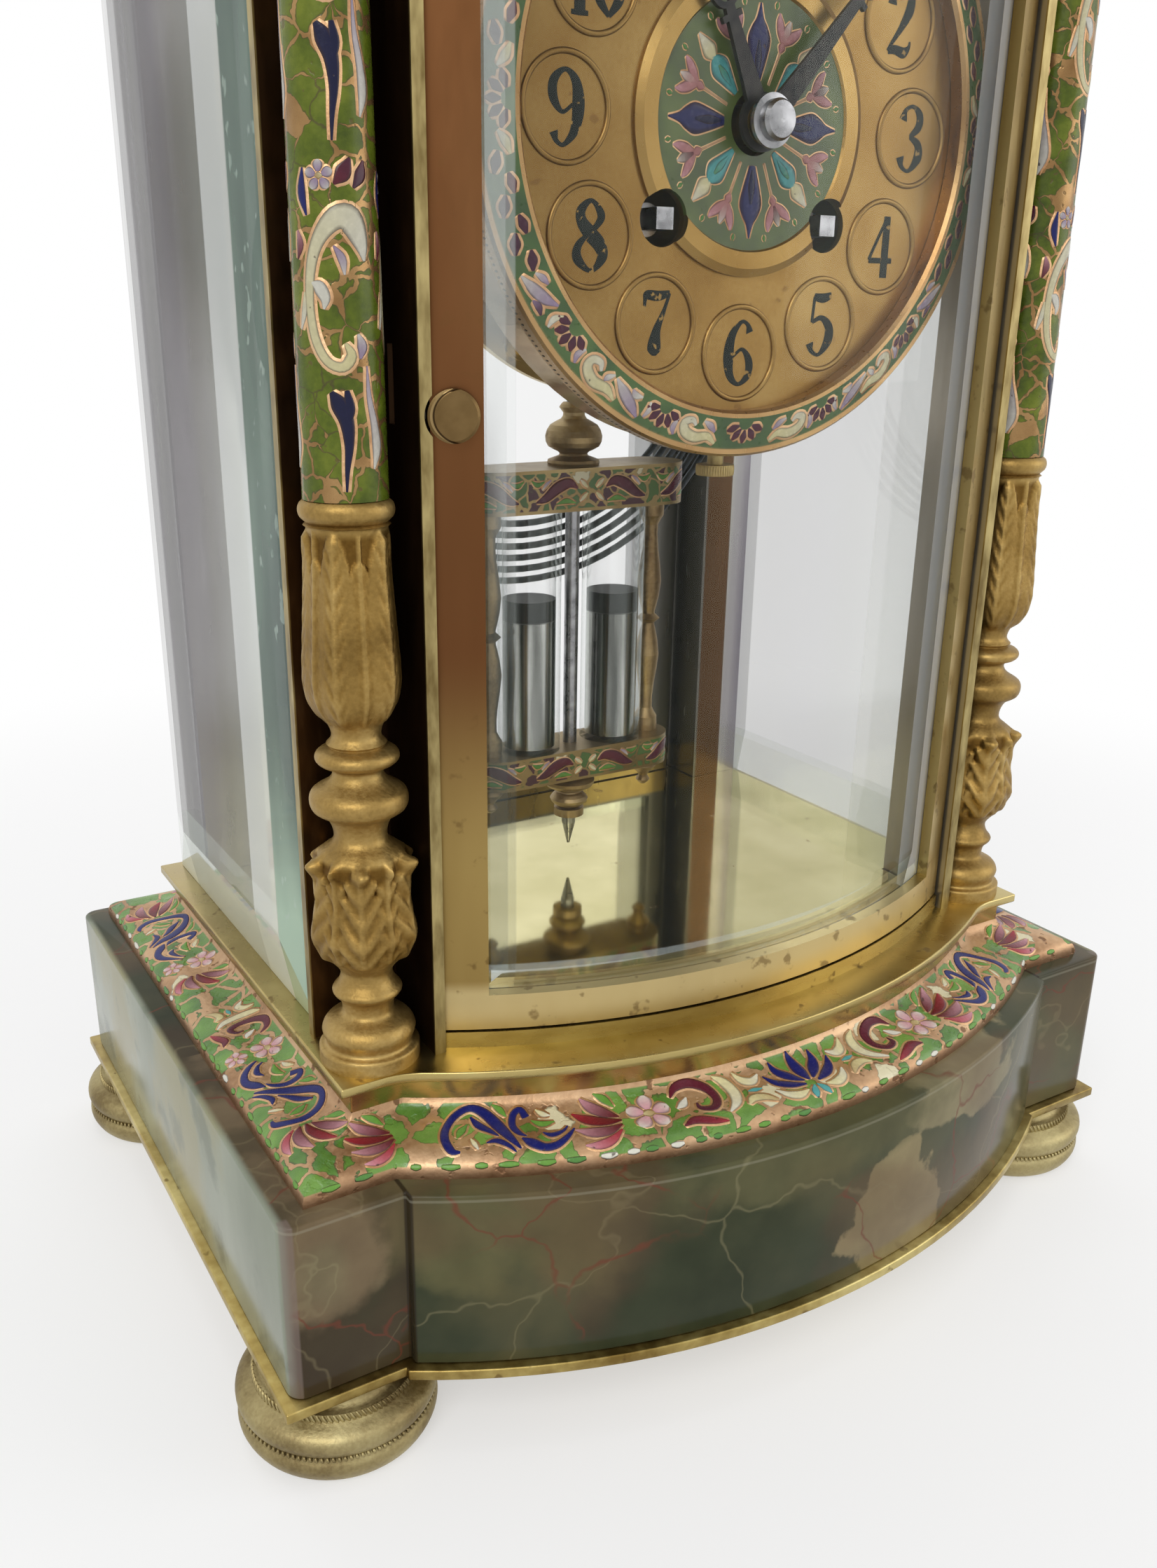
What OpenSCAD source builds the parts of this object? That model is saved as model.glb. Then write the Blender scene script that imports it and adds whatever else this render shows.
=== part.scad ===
// Crystal regulator clock: bow-fronted glazed brass case on an onyx base with enamelled mouldings,
// corner columns, gilt dial, two-train spring movement, two-jar pendulum and coil gong.
// Millimetres, +Z up, front towards -Y, origin on the table under the middle of the whole clock.

/* [Base] */
// Width of the onyx base block
base_w = 190; // [180:1:204]
// Depth of the onyx base block between its straight faces
base_d = 133.6; // [128:0.2:142]
// Height of the onyx base block
base_h = 33.5; // [24:0.5:45]
// How far the bowed front stands out from the straight front
base_bow = 22; // [20:0.5:24]
// Half width of the bowed part of the block
base_bow_x = 74; // [71:0.5:77]
// Distance from the case centre back to the centre of all the bows
bow_back = 56; // [54:0.5:60]
// Height of the turned feet
foot_h = 15.1; // [12:0.1:20]
// Largest radius of a foot
foot_r = 17.6; // [15:0.1:19]
// Distance of a foot axis from the side of the block
foot_in_x = 12.1; // [10:0.1:20]
// Distance of a foot axis from the front or back of the block
foot_in_y = 11.9; // [10:0.1:20]
// Thickness of the brass plate under the block
bottom_t = 2; // [1.5:0.1:4]
// Overhang of that plate round the block
bottom_over = 1.7; // [0.5:0.1:3]

/* [Mouldings] */
// Margin of block left bare at the sides of the moulding
mould_side = 5.1; // [3:0.1:7]
// Margin of block left bare in front of the moulding
mould_front = 3.7; // [2:0.1:5]
// Margin of block left bare along the bow
mould_bow = 4.6; // [3:0.1:6]
// Width of the moulding seen from above at the sides and the bow
mould_run = 13.2; // [12:0.1:15]
// Width of the moulding seen from above at the straight front and back
mould_run_y = 11.4; // [10:0.1:13]
// Height of the moulding
mould_h = 6.9; // [5:0.1:9]
// Height of the band between the block and the ledge
riser_h = 11.4; // [10.5:0.1:15]
// Thickness of the ledge plates above and below the glazed case
ledge_t = 1.8; // [1.2:0.1:3]
// Overhang of the ledge plates over their bands
ledge_over = 2.4; // [1.5:0.1:3]
// Radius of the hollow sweep between a ledge's corner and its bow
ledge_sweep = 14; // [10:0.5:18]
// Height of the onyx slab on top
top_h = 20; // [14:0.5:30]
// Rounding of the upright corners of both onyx blocks
onyx_corner = 3; // [1:0.5:5]
// Overhang of the top slab over its moulding
top_over = 2.5; // [1:0.1:4]

/* [Case] */
// Height of the glazed case between the two ledge plates
case_h = 210; // [204:1:240]
// Distance of a column axis in from the edges of the ledge
column_in = 8.9; // [8.8:0.1:10]
// Largest radius of a column
column_r = 8.5; // [8.1:0.1:8.6]
// Gap between a column and the posts round it
column_gap = 0.8; // [0.5:0.1:1.5]
// Height of the cast lower part of a column
baluster_h = 93.4; // [85:0.1:100]
// Height of the cast upper part of a column
capital_h = 24; // [20:0.5:30]
// Radius of the enamelled shaft at its foot
shaft_r = 6.4; // [5.5:0.1:6.6]
// Radius of the enamelled shaft at its top
shaft_top_r = 5.7; // [5:0.1:6.4]
// Thickness of the brass of the front posts
post_t = 2; // [1.6:0.1:2.6]
// Depth of the square rear posts
rear_post_d = 14.4; // [10:0.1:18]
// Thickness of the side panes
pane_t = 4.4; // [3:0.1:5]
// Thickness left at the edge of a side pane
pane_edge = 2; // [1.5:0.1:2.4]
// Width of the bevel round the side panes
pane_bevel = 13; // [8:0.5:15]
// Distance of the panes in from the edge of the ledge
pane_in = 2.1; // [1.5:0.1:3]
// Thickness of the inside floor and of the door sills
floor_t = 2.9; // [2:0.1:4]

/* [Doors] */
// Distance of the sill in from the bow of the ledge
sill_in = 8.1; // [7:0.1:9]
// Width of the door stiles
stile_w = 7; // [6:0.1:7.2]
// Height of the door rails
rail_h = 6.5; // [5:0.1:9]
// Thickness of the door frames
door_t = 5.2; // [4.8:0.1:5.6]
// Gap between a door and the case round it
door_gap = 0.5; // [0.45:0.05:0.7]
// Thickness of the door panes
door_pane_t = 3; // [2.6:0.1:3.2]
// Thickness left at the edge of a door pane
door_pane_edge = 1.6; // [1.2:0.1:2]
// Width of the bevel round the door panes
door_bevel = 9; // [6:0.5:12]
// Depth of the groove that holds a door pane
groove = 1; // [0.8:0.1:1.2]
// Diameter of the door knobs
knob_d = 7.7; // [6:0.1:9]
// Radius of the pins that the doors turn on
pivot_r = 1; // [0.8:0.05:1.1]

/* [Dial] */
// Distance of the dial centre below the upper ledge
dial_drop = 62.8; // [60:0.2:70]
// Radius of the enamelled bezel
bezel_r = 50.7; // [49.6:0.1:50.8]
// Width of the bezel ring
bezel_w = 7.5; // [6:0.1:9]
// Setback of the dial face behind the door pane where the bezel is nearest to it
dial_set = 2; // [1.8:0.1:3]
// Thickness of the dial plate
dial_t = 1.2; // [0.8:0.1:1.6]
// Radius of the circle of numeral rings
numeral_r = 34.2; // [33:0.1:35]
// Outer radius of a numeral ring
ring_r = 7.75; // [6.5:0.05:8]
// Radius of the enamelled centre disc
disc_r = 18.4; // [16:0.1:20]
// Sideways distance of the winding squares from the dial centre
wind_x = 16.5; // [16.4:0.1:18]
// Distance of the winding squares below the dial centre
wind_drop = 14.2; // [13.5:0.1:16]
// Radius of the winding holes
wind_r = 4.15; // [3.5:0.05:4.5]
// Depth of the drum behind the dial
drum_d = 12; // [11.5:0.1:14]
// Length of the hour hand
hour_len = 26; // [20:0.5:29]
// Length of the minute hand
minute_len = 38; // [32:0.5:41]
// Hour shown
shown_hour = 11; // [0:1:11]
// Minute shown
shown_minute = 7; // [0:1:59]

/* [Movement] */
// Radius of the movement plates
plate_r = 42.5; // [42:0.1:44]
// Thickness of the movement plates
plate_t = 2; // [1.5:0.1:2.5]
// Distance between the movement plates
train_d = 27; // [26.5:0.1:30]
// Radius of the arbors
arbor_r = 1.3; // [1:0.1:1.4]
// Radius of the arbor pivots
pivot_pin_r = 0.8; // [0.5:0.05:0.9]
// Radial clearance of every pivot in its hole
run_gap = 0.06; // [0.03:0.01:0.09]
// Height of the escape wheel axis above the dial centre
escape_rise = 27.5; // [27:0.1:28]
// Height of the pendulum and anchor axis above the dial centre
swing_rise = 38.5; // [38:0.1:39]

/* [Pendulum and gong] */
// Distance of the pendulum behind the back plate
pend_back = 9; // [8.6:0.1:10]
// Height of the pendulum tip above the lower ledge
tip_rise = 7.3; // [5:0.1:10]
// Radius of the two pendulum jars
jar_r = 6.7; // [5.5:0.1:7]
// Distance of a jar axis from the rod
jar_x = 10.3; // [9.5:0.1:11]
// Length of the jars
jar_h = 50.6; // [44:0.1:56]
// Height of the mercury in the jars
mercury_h = 31.5; // [20:0.5:44]
// Radius of the pendulum rod
rod_r = 1.5; // [1.2:0.05:1.7]
// Distance of a pendulum colonnette from the rod
colonnette_x = 19.8; // [19.5:0.1:21]
// Distance of the gong behind the pendulum
gong_back = 21; // [20:0.5:24]
// Distance of the gong centre below the dial centre
gong_drop = 26; // [23.2:0.2:29.2]
// Inner radius of the gong coil
gong_r = 44; // [43:0.5:46]
// Number of turns of the gong coil
gong_turns = 6; // [4:1:6]
// Distance between neighbouring turns
gong_pitch = 2.5; // [2.3:0.1:2.6]
// Diameter of the gong wire
gong_wire = 1.5; // [1.2:0.1:1.6]

/* [Hidden] */
$fn = 64;
BIG = 400;

// Levels of the stack
z_block = foot_h + bottom_t;
z_mould = z_block + base_h;
z_ledge = z_mould + riser_h;
z_case = z_ledge + ledge_t;
z_roof = z_case + case_h;
z_top = z_roof + ledge_t + riser_h;

// Half sizes and bow radii of the nested outlines
half_w = base_w / 2;
half_d = base_d / 2;
base_r = half_d + base_bow + bow_back;
mould_hw = half_w - mould_side;
mould_hd = half_d - mould_front;
mould_r = base_r - mould_bow;
riser_hw = mould_hw - mould_run;
riser_hd = mould_hd - mould_run_y;
riser_r = mould_r - mould_run;
ledge_hw = riser_hw + ledge_over;
ledge_hd = riser_hd + ledge_over;
ledge_r = riser_r + ledge_over;
foot_x = half_w - foot_in_x;
foot_y = half_d - foot_in_y;

// The case centre lies behind the middle of the whole clock because of the bow
case_y = (base_r - bow_back + bottom_over - foot_y - foot_r) / 2;

// Columns, posts and panes
column_x = ledge_hw - column_in;
column_y = -(ledge_hd - column_in);
post_out = column_x - column_r - column_gap;
post_in = post_out - post_t;
notch_y = column_y + column_r + column_gap;
post_back = notch_y + post_t;
pane_x = ledge_hw - pane_in;
pane_in_x = pane_x - pane_t;
pane_gap = 0.2;
case_back = ledge_hd - pane_in;
rear_post_y = case_back - rear_post_d;

// Doors
sill_r = ledge_r - sill_in;
door_r = sill_r - door_gap;
door_in_r = door_r - door_t;
door_hw = post_in - door_gap;
pane_hw = door_hw - stile_w;
rise_gap = 0.3;
door_z = z_case + floor_t + rise_gap;
door_top = z_roof - floor_t - rise_gap;
glass_setback = 1.2;
glass_r = door_r - glass_setback;
glass_in_r = glass_r - door_pane_t;
glass_edge_r = glass_in_r + door_pane_edge;
glass_fit = 0.1;
// How much thicker than its edge a bevelled pane is where it leaves its groove
bevel_rise = (door_pane_t - door_pane_edge) * groove / door_bevel;
// Inner corner of the front door beside a post
door_back = bow_back - sqrt(door_in_r * door_in_r - door_hw * door_hw);
knob_z = (door_z + door_top) / 2;
knob_r = knob_d / 2;
knob_t = 2.4;
knob_shank_r = 1;
pivot_x = door_hw - 2.56;
pivot_ring = door_r - pivot_r - 0.2;
pivot_y = bow_back - sqrt(pivot_ring * pivot_ring - pivot_x * pivot_x);
hinge_r = 4.2;
pin_len = floor_t - 0.6;
rear_y = case_back - door_t / 2;
rear_pivot_x = door_hw - door_t / 2;

// Depths of dial, movement, pendulum and gong
dial_z = z_roof - dial_drop;
dial_y = bow_back - sqrt(glass_in_r * glass_in_r - bezel_r * bezel_r) + dial_set;
front_y = dial_y + drum_d;
train_y = front_y + plate_t;
back_y = train_y + train_d;
rear_face = back_y + plate_t;
pend_y = rear_face + pend_back;
swing_z = dial_z + swing_rise;
gong_y = pend_y + gong_back;
gong_z = dial_z - gong_drop;
drum_r = bezel_r - 1.5;
drum_wall = 1.4;

// Wheel train: teeth, modules and meeting points seen from the front, from the dial centre
train_m = 0.7;
upper_m = 0.55;
motion_m = 0.6;
great_n = 44;
second_pinion_n = 10;
second_n = 42;
strike_n = 34;
centre_pinion_n = 10;
centre_n = 48;
third_pinion_n = 8;
third_n = 40;
escape_pinion_n = 8;
escape_n = 24;
cannon_n = 12;
minute_n = 36;
minute_pinion_n = 10;
hour_n = 40;
motion_d = (cannon_n + minute_n) * motion_m / 2;
hour_m = 2 * motion_d / (minute_pinion_n + hour_n);
barrel_at = [wind_x, -wind_drop];
second_at = meet([0, 0], (second_n + centre_pinion_n) * train_m / 2,
                 barrel_at, (great_n + second_pinion_n) * train_m / 2, 1);
escape_at = [0, escape_rise];
third_at = meet([0, 0], (centre_n + third_pinion_n) * upper_m / 2,
                escape_at, (third_n + escape_pinion_n) * upper_m / 2, -1);
minute_at = [0, motion_d];
swing_at = [0, swing_rise];
hammer_at = [-36, 8];
strike_at = [-second_at[0], second_at[1]];
strike_barrel_at = [-barrel_at[0], barrel_at[1]];

// Depths of the wheels behind the front plate
wheel_t = 1.4;
great_y = 0.6;
drum_len = 16;
escape_y = 17;
second_y = 21;
centre_y = 23.6;
third_y = 9;
shake = 0.2;
arbor_wind_r = 2.5;
wind_pivot_r = 2;
wind_square = 3.2;
cannon_r = 2.2;
centre_r = 1.5;
pipe_wall = 0.85;

// Hands
hand_t = 0.8;
hour_hand_y = dial_y - 2.2;
minute_hand_y = dial_y - 4;
hour_angle = -30 * (shown_hour + shown_minute / 60);
minute_angle = -6 * shown_minute;

// Pendulum levels
tip_z = z_case + tip_rise;
nut_z = tip_z + 7;
lower_plate_z = tip_z + 17.2;
bob_plate_h = 6.7;
bob_top_h = 8.4;
jar_z = lower_plate_z + bob_plate_h;
upper_plate_z = jar_z + jar_h;
spring_z = swing_z - 13.5;
fork_z = dial_z - 6;

// Turned outlines as [radius, height]
FOOT = [[0.77, 0], [0.9, 0.05], [0.98, 0.2], [0.985, 0.32], [0.94, 0.4], [0.975, 0.46], [1, 0.56], [0.97, 0.67],
        [0.86, 0.745], [0.815, 0.76], [0.815, 0.76], [0.815, 0.86], [0.815, 0.86], [0.74, 0.88], [0.7, 0.95], [0.69, 1]];
BALUSTER = [[8.5, 0], [8.5, 0], [8.5, 2.6], [8.5, 2.6], [7.2, 3.2], [7.9, 5.4], [7, 7.2], [4.6, 8.4], [4.3, 9.6],
            [4.7, 11.2], [5.9, 12.7], [4.7, 14.4], [4.4, 16.6], [6.6, 19.6], [8, 23.6], [7.2, 28.6], [7.2, 32.8],
            [7.7, 35.8], [6.6, 37.8], [4.5, 39.6], [4.4, 41.6], [5.4, 43.6], [7.4, 44.9], [7.9, 46.5], [7.4, 48],
            [5, 49.5], [4, 51], [4.8, 52.6], [6.2, 54.2], [4.8, 55.8], [3.9, 57], [4.4, 59], [6.3, 62], [7.1, 66],
            [6.7, 73.4], [6.1, 83], [6.1, 89.4], [6.1, 89.4], [6.7, 90], [6.7, 92.6], [6.7, 93.4], [6.7, 93.4]];
CAPITAL = [[6.6, 0], [6.6, 0], [6.6, 2], [6.6, 2], [5.6, 2.8], [5.4, 5], [6, 9], [7.4, 13.4], [8.1, 16],
           [7, 17.4], [7, 18.2], [8.5, 18.8], [8.5, 18.8], [8.5, 24], [8.5, 24]];
COLONNETTE = [[2.6, 0], [2.6, 0.06], [1.5, 0.1], [1.7, 0.2], [2.6, 0.34], [1.7, 0.45], [1.4, 0.48], [2.5, 0.5],
              [1.4, 0.52], [1.7, 0.55], [2.6, 0.66], [1.7, 0.8], [1.5, 0.9], [2.6, 0.94], [2.6, 1]];
FINIAL = [[5.2, 0], [5.2, 1], [3, 1.8], [3.2, 2.6], [5.2, 3.6], [5.8, 5.6], [4.8, 7.8], [2.6, 9], [2.2, 10.2],
          [3, 11.2], [2.2, 12.2]];
LOWER_FINIAL = [[2, 0], [3.4, 0.8], [4.2, 2], [3.2, 3.2], [2.6, 3.8], [5, 5], [5.6, 6.4], [4, 7.6], [4, 8.4]];
END_FINIAL = [[0.6, 0], [1.6, 1], [1, 2], [1.6, 3], [2.8, 4.4], [2.2, 5.8], [2.4, 6.4]];

// Where two circles of radius a round p and b round q meet, on the given side
function meet(p, a, q, b, side) =
  let (d = norm(q - p), e = (q - p) / d, k = (a * a - b * b + d * d) / (2 * d), h = sqrt(a * a - k * k))
  p + k * e + side * h * [-e[1], e[0]];

// Angle from the +X axis
function heading(v) = atan2(v[1], v[0]);

// Turn of a wheel of nb teeth that puts it in mesh with one of na teeth turned by a
function in_mesh(a, na, from, nb, to) =
  let (line = heading(to - from)) line + 180 + 360 / nb * (0.5 - (a - line) * na / 360);

// Smooth outline through the given points, with a corner where a point stands twice
function smooth(p, n) = let (last = len(p) - 1) concat(
  [for (i = [0:last - 1], k = [0:n - 1]) let (t = k / n, a = p[max(i - 1, 0)], b = p[i], c = p[i + 1],
    d = p[min(i + 2, last)])
    if (k == 0 || b != c)
      0.5 * (2 * b + (c - a) * t + (2 * a - 5 * b + 4 * c - d) * t * t + (3 * b - a - 3 * c + d) * t * t * t)],
  [p[last]]);

// Section of the enamelled moulding: a convex roll at its foot and a hollow up to the band
function moulding_rise(u) = u < 0.45
  ? 0.16 + 0.42 * sqrt(1 - pow(1 - u / 0.45, 2))
  : 0.58 + 0.42 * (1 - sqrt(1 - pow((u - 0.45) / 0.55, 2)));
function moulding_section(run) = concat([[0, 0]],
  [for (k = [0:12]) let (u = pow(k / 12, k < 5 ? 1.6 : 1)) [u * run, moulding_rise(u) * mould_h]], [[run, 0]]);

module in_case() { translate([0, case_y, 0]) children(); }

module turned(outline) {
  rotate_extrude() polygon(concat([[0, outline[0][1]]], outline, [[0, outline[len(outline) - 1][1]]]));
}

// Children drawn in a plane seen from the front stand at a point of the movement, from depth y forwards
module at_front(p, y) { translate([p[0], y, dial_z + p[1]]) rotate([90, 0, 0]) children(); }

// Round bar along Y between two depths
module bar(p, y0, y1, r) { at_front(p, max(y0, y1)) cylinder(r = r, h = abs(y1 - y0)); }

// Bow-fronted outline
module bowed(hw, hd, r, bow_x, corner = 0) {
  square([2 * (hw - corner), 2 * hd], center = true);
  if (corner > 0) union() {
    square([2 * hw, 2 * (hd - corner)], center = true);
    for (x = [-1, 1], y = [-1, 1]) translate([x * (hw - corner), y * (hd - corner)]) circle(corner);
  }
  intersection() {
    translate([0, bow_back]) circle(r, $fn = 180);
    translate([-bow_x, -BIG]) square([2 * bow_x, BIG]);
  }
}

// Where a bow runs into its straight front, and a strip a little wider than that
function bow_meet(hd, r) = sqrt(r * r - (bow_back + hd) * (bow_back + hd));
module full_bow(hw, hd, r) { bowed(hw, hd, r, bow_meet(hd, r) + 1); }

module ledge_outline() {
  overlap = 0.02;
  full_bow(ledge_hw, ledge_hd, ledge_r);
  reach = sqrt(pow(ledge_r + ledge_sweep, 2) - pow(bow_back + ledge_hd + ledge_sweep, 2));
  share = ledge_r / (ledge_r + ledge_sweep);
  for (side = [-1, 1]) difference() {
    polygon([[side * reach, -ledge_hd - ledge_sweep],
             [side * reach, -ledge_hd + 1],
             [side * reach * share - side, -ledge_hd + 1],
             [side * reach * share - side, bow_back - (bow_back + ledge_hd + ledge_sweep) * share],
             [side * reach * share, bow_back - (bow_back + ledge_hd + ledge_sweep) * share]]);
    translate([side * reach, -ledge_hd - ledge_sweep]) circle(ledge_sweep + overlap, $fn = 90);
  }
}

module ledge(z, band_z) {
  in_case() {
    translate([0, 0, z]) linear_extrude(ledge_t) ledge_outline();
    translate([0, 0, band_z]) linear_extrude(riser_h) full_bow(riser_hw, riser_hd, riser_r);
  }
}

// Mitred lengths of moulding round the band, foot down: back, two sides, two ears and the bow
module moulding_ring() {
  mitre = 0.05;
  fit = 0.02;
  ear_len = mould_run * 2;
  corner = [mould_hw, mould_hd];
  inner = [riser_hw, riser_hd];
  elbow = [bow_meet(riser_hd, riser_r), -riser_hd];
  elbow_foot = [bow_meet(mould_hd, mould_r), -mould_hd];
  beyond = elbow_foot + (elbow_foot - elbow) / 2;
  gap = [mitre, 0];
  translate([BIG / 2, mould_hd, 0]) mitred_back(corner, inner, mitre) rotate([90, 0, -90])
    linear_extrude(BIG) polygon(moulding_section(mould_run_y - fit));
  for (side = [0, 1]) mirror([side, 0, 0]) {
    intersection() {
      translate([mould_hw, BIG / 2, 0]) rotate([90, 0, 0]) linear_extrude(BIG)
        mirror([1, 0]) polygon(moulding_section(mould_run - fit));
      linear_extrude(BIG) polygon([[corner[0], -corner[1] + mitre], [inner[0], -inner[1] + mitre],
                                   [inner[0], inner[1] - mitre], [corner[0], corner[1] - mitre]]);
    }
    intersection() {
      translate([mould_hw - ear_len, -mould_hd, 0]) rotate([90, 0, 90]) linear_extrude(ear_len)
        polygon(moulding_section(mould_run_y - fit));
      linear_extrude(BIG) polygon([[corner[0], -corner[1] - mitre], [inner[0], -inner[1] - mitre],
                                   elbow + gap, beyond + gap, [corner[0], beyond[1]]]);
    }
  }
  intersection() {
    translate([0, bow_back, 0]) rotate([0, 0, 235]) rotate_extrude(angle = 70, $fn = 180)
      translate([mould_r, 0]) mirror([1, 0]) polygon(moulding_section(mould_run - fit));
    linear_extrude(BIG) polygon([elbow - gap, beyond - gap, [beyond[0] - mitre, -BIG], [mitre - beyond[0], -BIG],
                                 [mitre - beyond[0], beyond[1]], [mitre - elbow[0], elbow[1]]]);
  }
}

// The straight length at the back, cut to the corners
module mitred_back(corner, inner, mitre) {
  intersection() {
    children();
    translate([-BIG / 2, -mould_hd, 0]) linear_extrude(BIG)
      polygon([[-corner[0], corner[1] + mitre], [-inner[0], inner[1] + mitre],
               [inner[0], inner[1] + mitre], [corner[0], corner[1] + mitre]]);
  }
}

module feet() {
  outline = smooth([for (p = FOOT) [p[0] * foot_r, p[1] * foot_h]], 3);
  color("darkgoldenrod") in_case() for (x = [-1, 1], y = [-1, 1])
    translate([x * foot_x, y * foot_y, 0]) turned(outline);
}

module bottom_plate() {
  color("goldenrod") in_case() translate([0, 0, foot_h]) linear_extrude(bottom_t)
    bowed(half_w + bottom_over, half_d + bottom_over, base_r + bottom_over, base_bow_x + bottom_over);
}

module onyx_base() {
  color("darkolivegreen") in_case() translate([0, 0, z_block]) linear_extrude(base_h)
    bowed(half_w, half_d, base_r, base_bow_x, onyx_corner);
}

module base_moulding() { color("peru") in_case() translate([0, 0, z_mould]) moulding_ring(); }

module lower_ledge() { color("goldenrod") ledge(z_ledge, z_mould); }

module upper_ledge() { color("goldenrod") ledge(z_roof, z_roof + ledge_t); }

module top_moulding() { color("peru") in_case() translate([0, 0, z_top]) mirror([0, 0, 1]) moulding_ring(); }

module onyx_top() {
  color("darkolivegreen") in_case() translate([0, 0, z_top]) linear_extrude(top_h)
    bowed(mould_hw + top_over, mould_hd + top_over, mould_r + top_over, base_bow_x - mould_bow + top_over,
      onyx_corner);
}

// Inside floor, cut back for the posts and ending at the sills
module floor_plate() {
  fit = 0.1;
  color("khaki") in_case() translate([0, 0, z_case]) linear_extrude(floor_t) union() {
    translate([-pane_in_x + pane_gap, post_back + fit])
      square([2 * (pane_in_x - pane_gap), rear_post_y - post_back - 2 * fit]);
    translate([-door_hw, post_back + fit]) square([2 * door_hw, case_back - door_t - post_back - 3 * fit]);
    intersection() {
      translate([0, bow_back]) circle(door_in_r - fit, $fn = 180);
      translate([-door_hw, -BIG]) square([2 * door_hw, BIG + post_back + 1]);
    }
  }
}

// Curved bar between two radii of the bow, for the width of the front door
module bow_bar(r0, r1, hw) {
  intersection() {
    translate([0, bow_back]) difference() {
      circle(r1, $fn = 180);
      circle(r0, $fn = 180);
    }
    translate([-hw, -BIG]) square([2 * hw, BIG]);
  }
}

module pivot_hole(x, y) { translate([x, y, -1]) cylinder(r = pivot_r + run_gap, h = BIG); }

// Fixed sill and lintel that each door stands and turns between
module door_sills() {
  color("goldenrod") in_case() for (z = [z_case, z_roof - floor_t]) translate([0, 0, z]) {
    difference() {
      linear_extrude(floor_t) bow_bar(door_in_r, sill_r, door_hw);
      pivot_hole(pivot_x, pivot_y);
    }
    difference() {
      translate([-door_hw, case_back - door_t, 0]) cube([2 * door_hw, door_t, floor_t]);
      pivot_hole(-rear_pivot_x, rear_y);
    }
  }
}

// Brass angle round the recess that a column stands in
module front_post() {
  lip = 2.1;
  in_case() translate([0, 0, z_case]) linear_extrude(case_h) union() {
    translate([post_in, column_y - column_r + lip]) square([post_t, post_back - column_y + column_r - lip]);
    translate([post_in, notch_y]) square([pane_x - post_in - pane_gap, post_t]);
  }
}

// The left post has the slot that the front latch turns into, and a hollow behind the knob's rim
module front_post_left() {
  color("saddlebrown") difference() {
    mirrored_left() front_post();
    in_case() translate([0, 0, knob_z]) knob_axis() {
      latch_slot();
      translate([0, 0, -latch_back]) cylinder(r = knob_r + 0.4, h = BIG / 4);
    }
  }
}

module front_post_right() { color("saddlebrown") front_post(); }

// Solid rear posts, the right one with the pocket for the rear latch
module rear_posts() {
  w = pane_in_x - pane_gap - post_in;
  color("saddlebrown") in_case() difference() {
    for (x = [-post_in - w, post_in]) translate([x, rear_post_y, z_case]) cube([w, rear_post_d, case_h]);
    rear_knob_axis() mirror([1, 0, 0]) latch_slot();
  }
}

// Pane lying flat, bevelled round its upper face
module bevelled_pane(w, h, t, edge, bevel) {
  slope = atan((t - edge) / bevel);
  difference() {
    cube([w, h, t]);
    for (x = [0, 1]) translate([x * w, -1, edge]) mirror([x, 0, 0]) rotate([0, -slope, 0])
      translate([-t, 0, 0]) cube([bevel * 2, h + 2, t * 4]);
    for (y = [0, 1]) translate([-1, y * h, edge]) mirror([0, y, 0]) rotate([slope, 0, 0])
      translate([0, -t, 0]) cube([w + 2, bevel * 2, t * 4]);
  }
}

module side_pane() {
  lift = 0.1;
  front = post_back + pane_gap;
  color("lightcyan", 0.4) in_case()
    translate([pane_in_x, front, z_case + lift]) rotate([90, 0, 90])
      bevelled_pane(case_back - front, case_h - 2 * lift, pane_t, pane_edge, pane_bevel);
}

module side_pane_left() { mirrored_left() side_pane(); }

module side_pane_right() { side_pane(); }

module mirrored_left() { mirror([1, 0, 0]) children(); }

module column_castings() {
  color("darkgoldenrod") in_case() translate([column_x, column_y, z_case]) {
    turned(smooth([for (p = BALUSTER) [min(p[0], column_r), p[1] * baluster_h / BALUSTER[len(BALUSTER) - 1][1]]], 3));
    translate([0, 0, case_h - capital_h])
      turned(smooth([for (p = CAPITAL) [min(p[0], column_r), p[1] * capital_h / CAPITAL[len(CAPITAL) - 1][1]]], 3));
  }
}

module column_castings_left() { mirrored_left() column_castings(); }

module column_castings_right() { column_castings(); }

module column_shaft() {
  color("forestgreen") in_case() translate([column_x, column_y, z_case + baluster_h])
    cylinder(r1 = shaft_r, r2 = shaft_top_r, h = case_h - baluster_h - capital_h);
}

module column_shaft_left() { mirrored_left() column_shaft(); }

module column_shaft_right() { column_shaft(); }

module pane_groove() { 
  bow_bar(glass_in_r - glass_fit, glass_edge_r + bevel_rise + glass_fit, pane_hw + groove);
}

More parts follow.
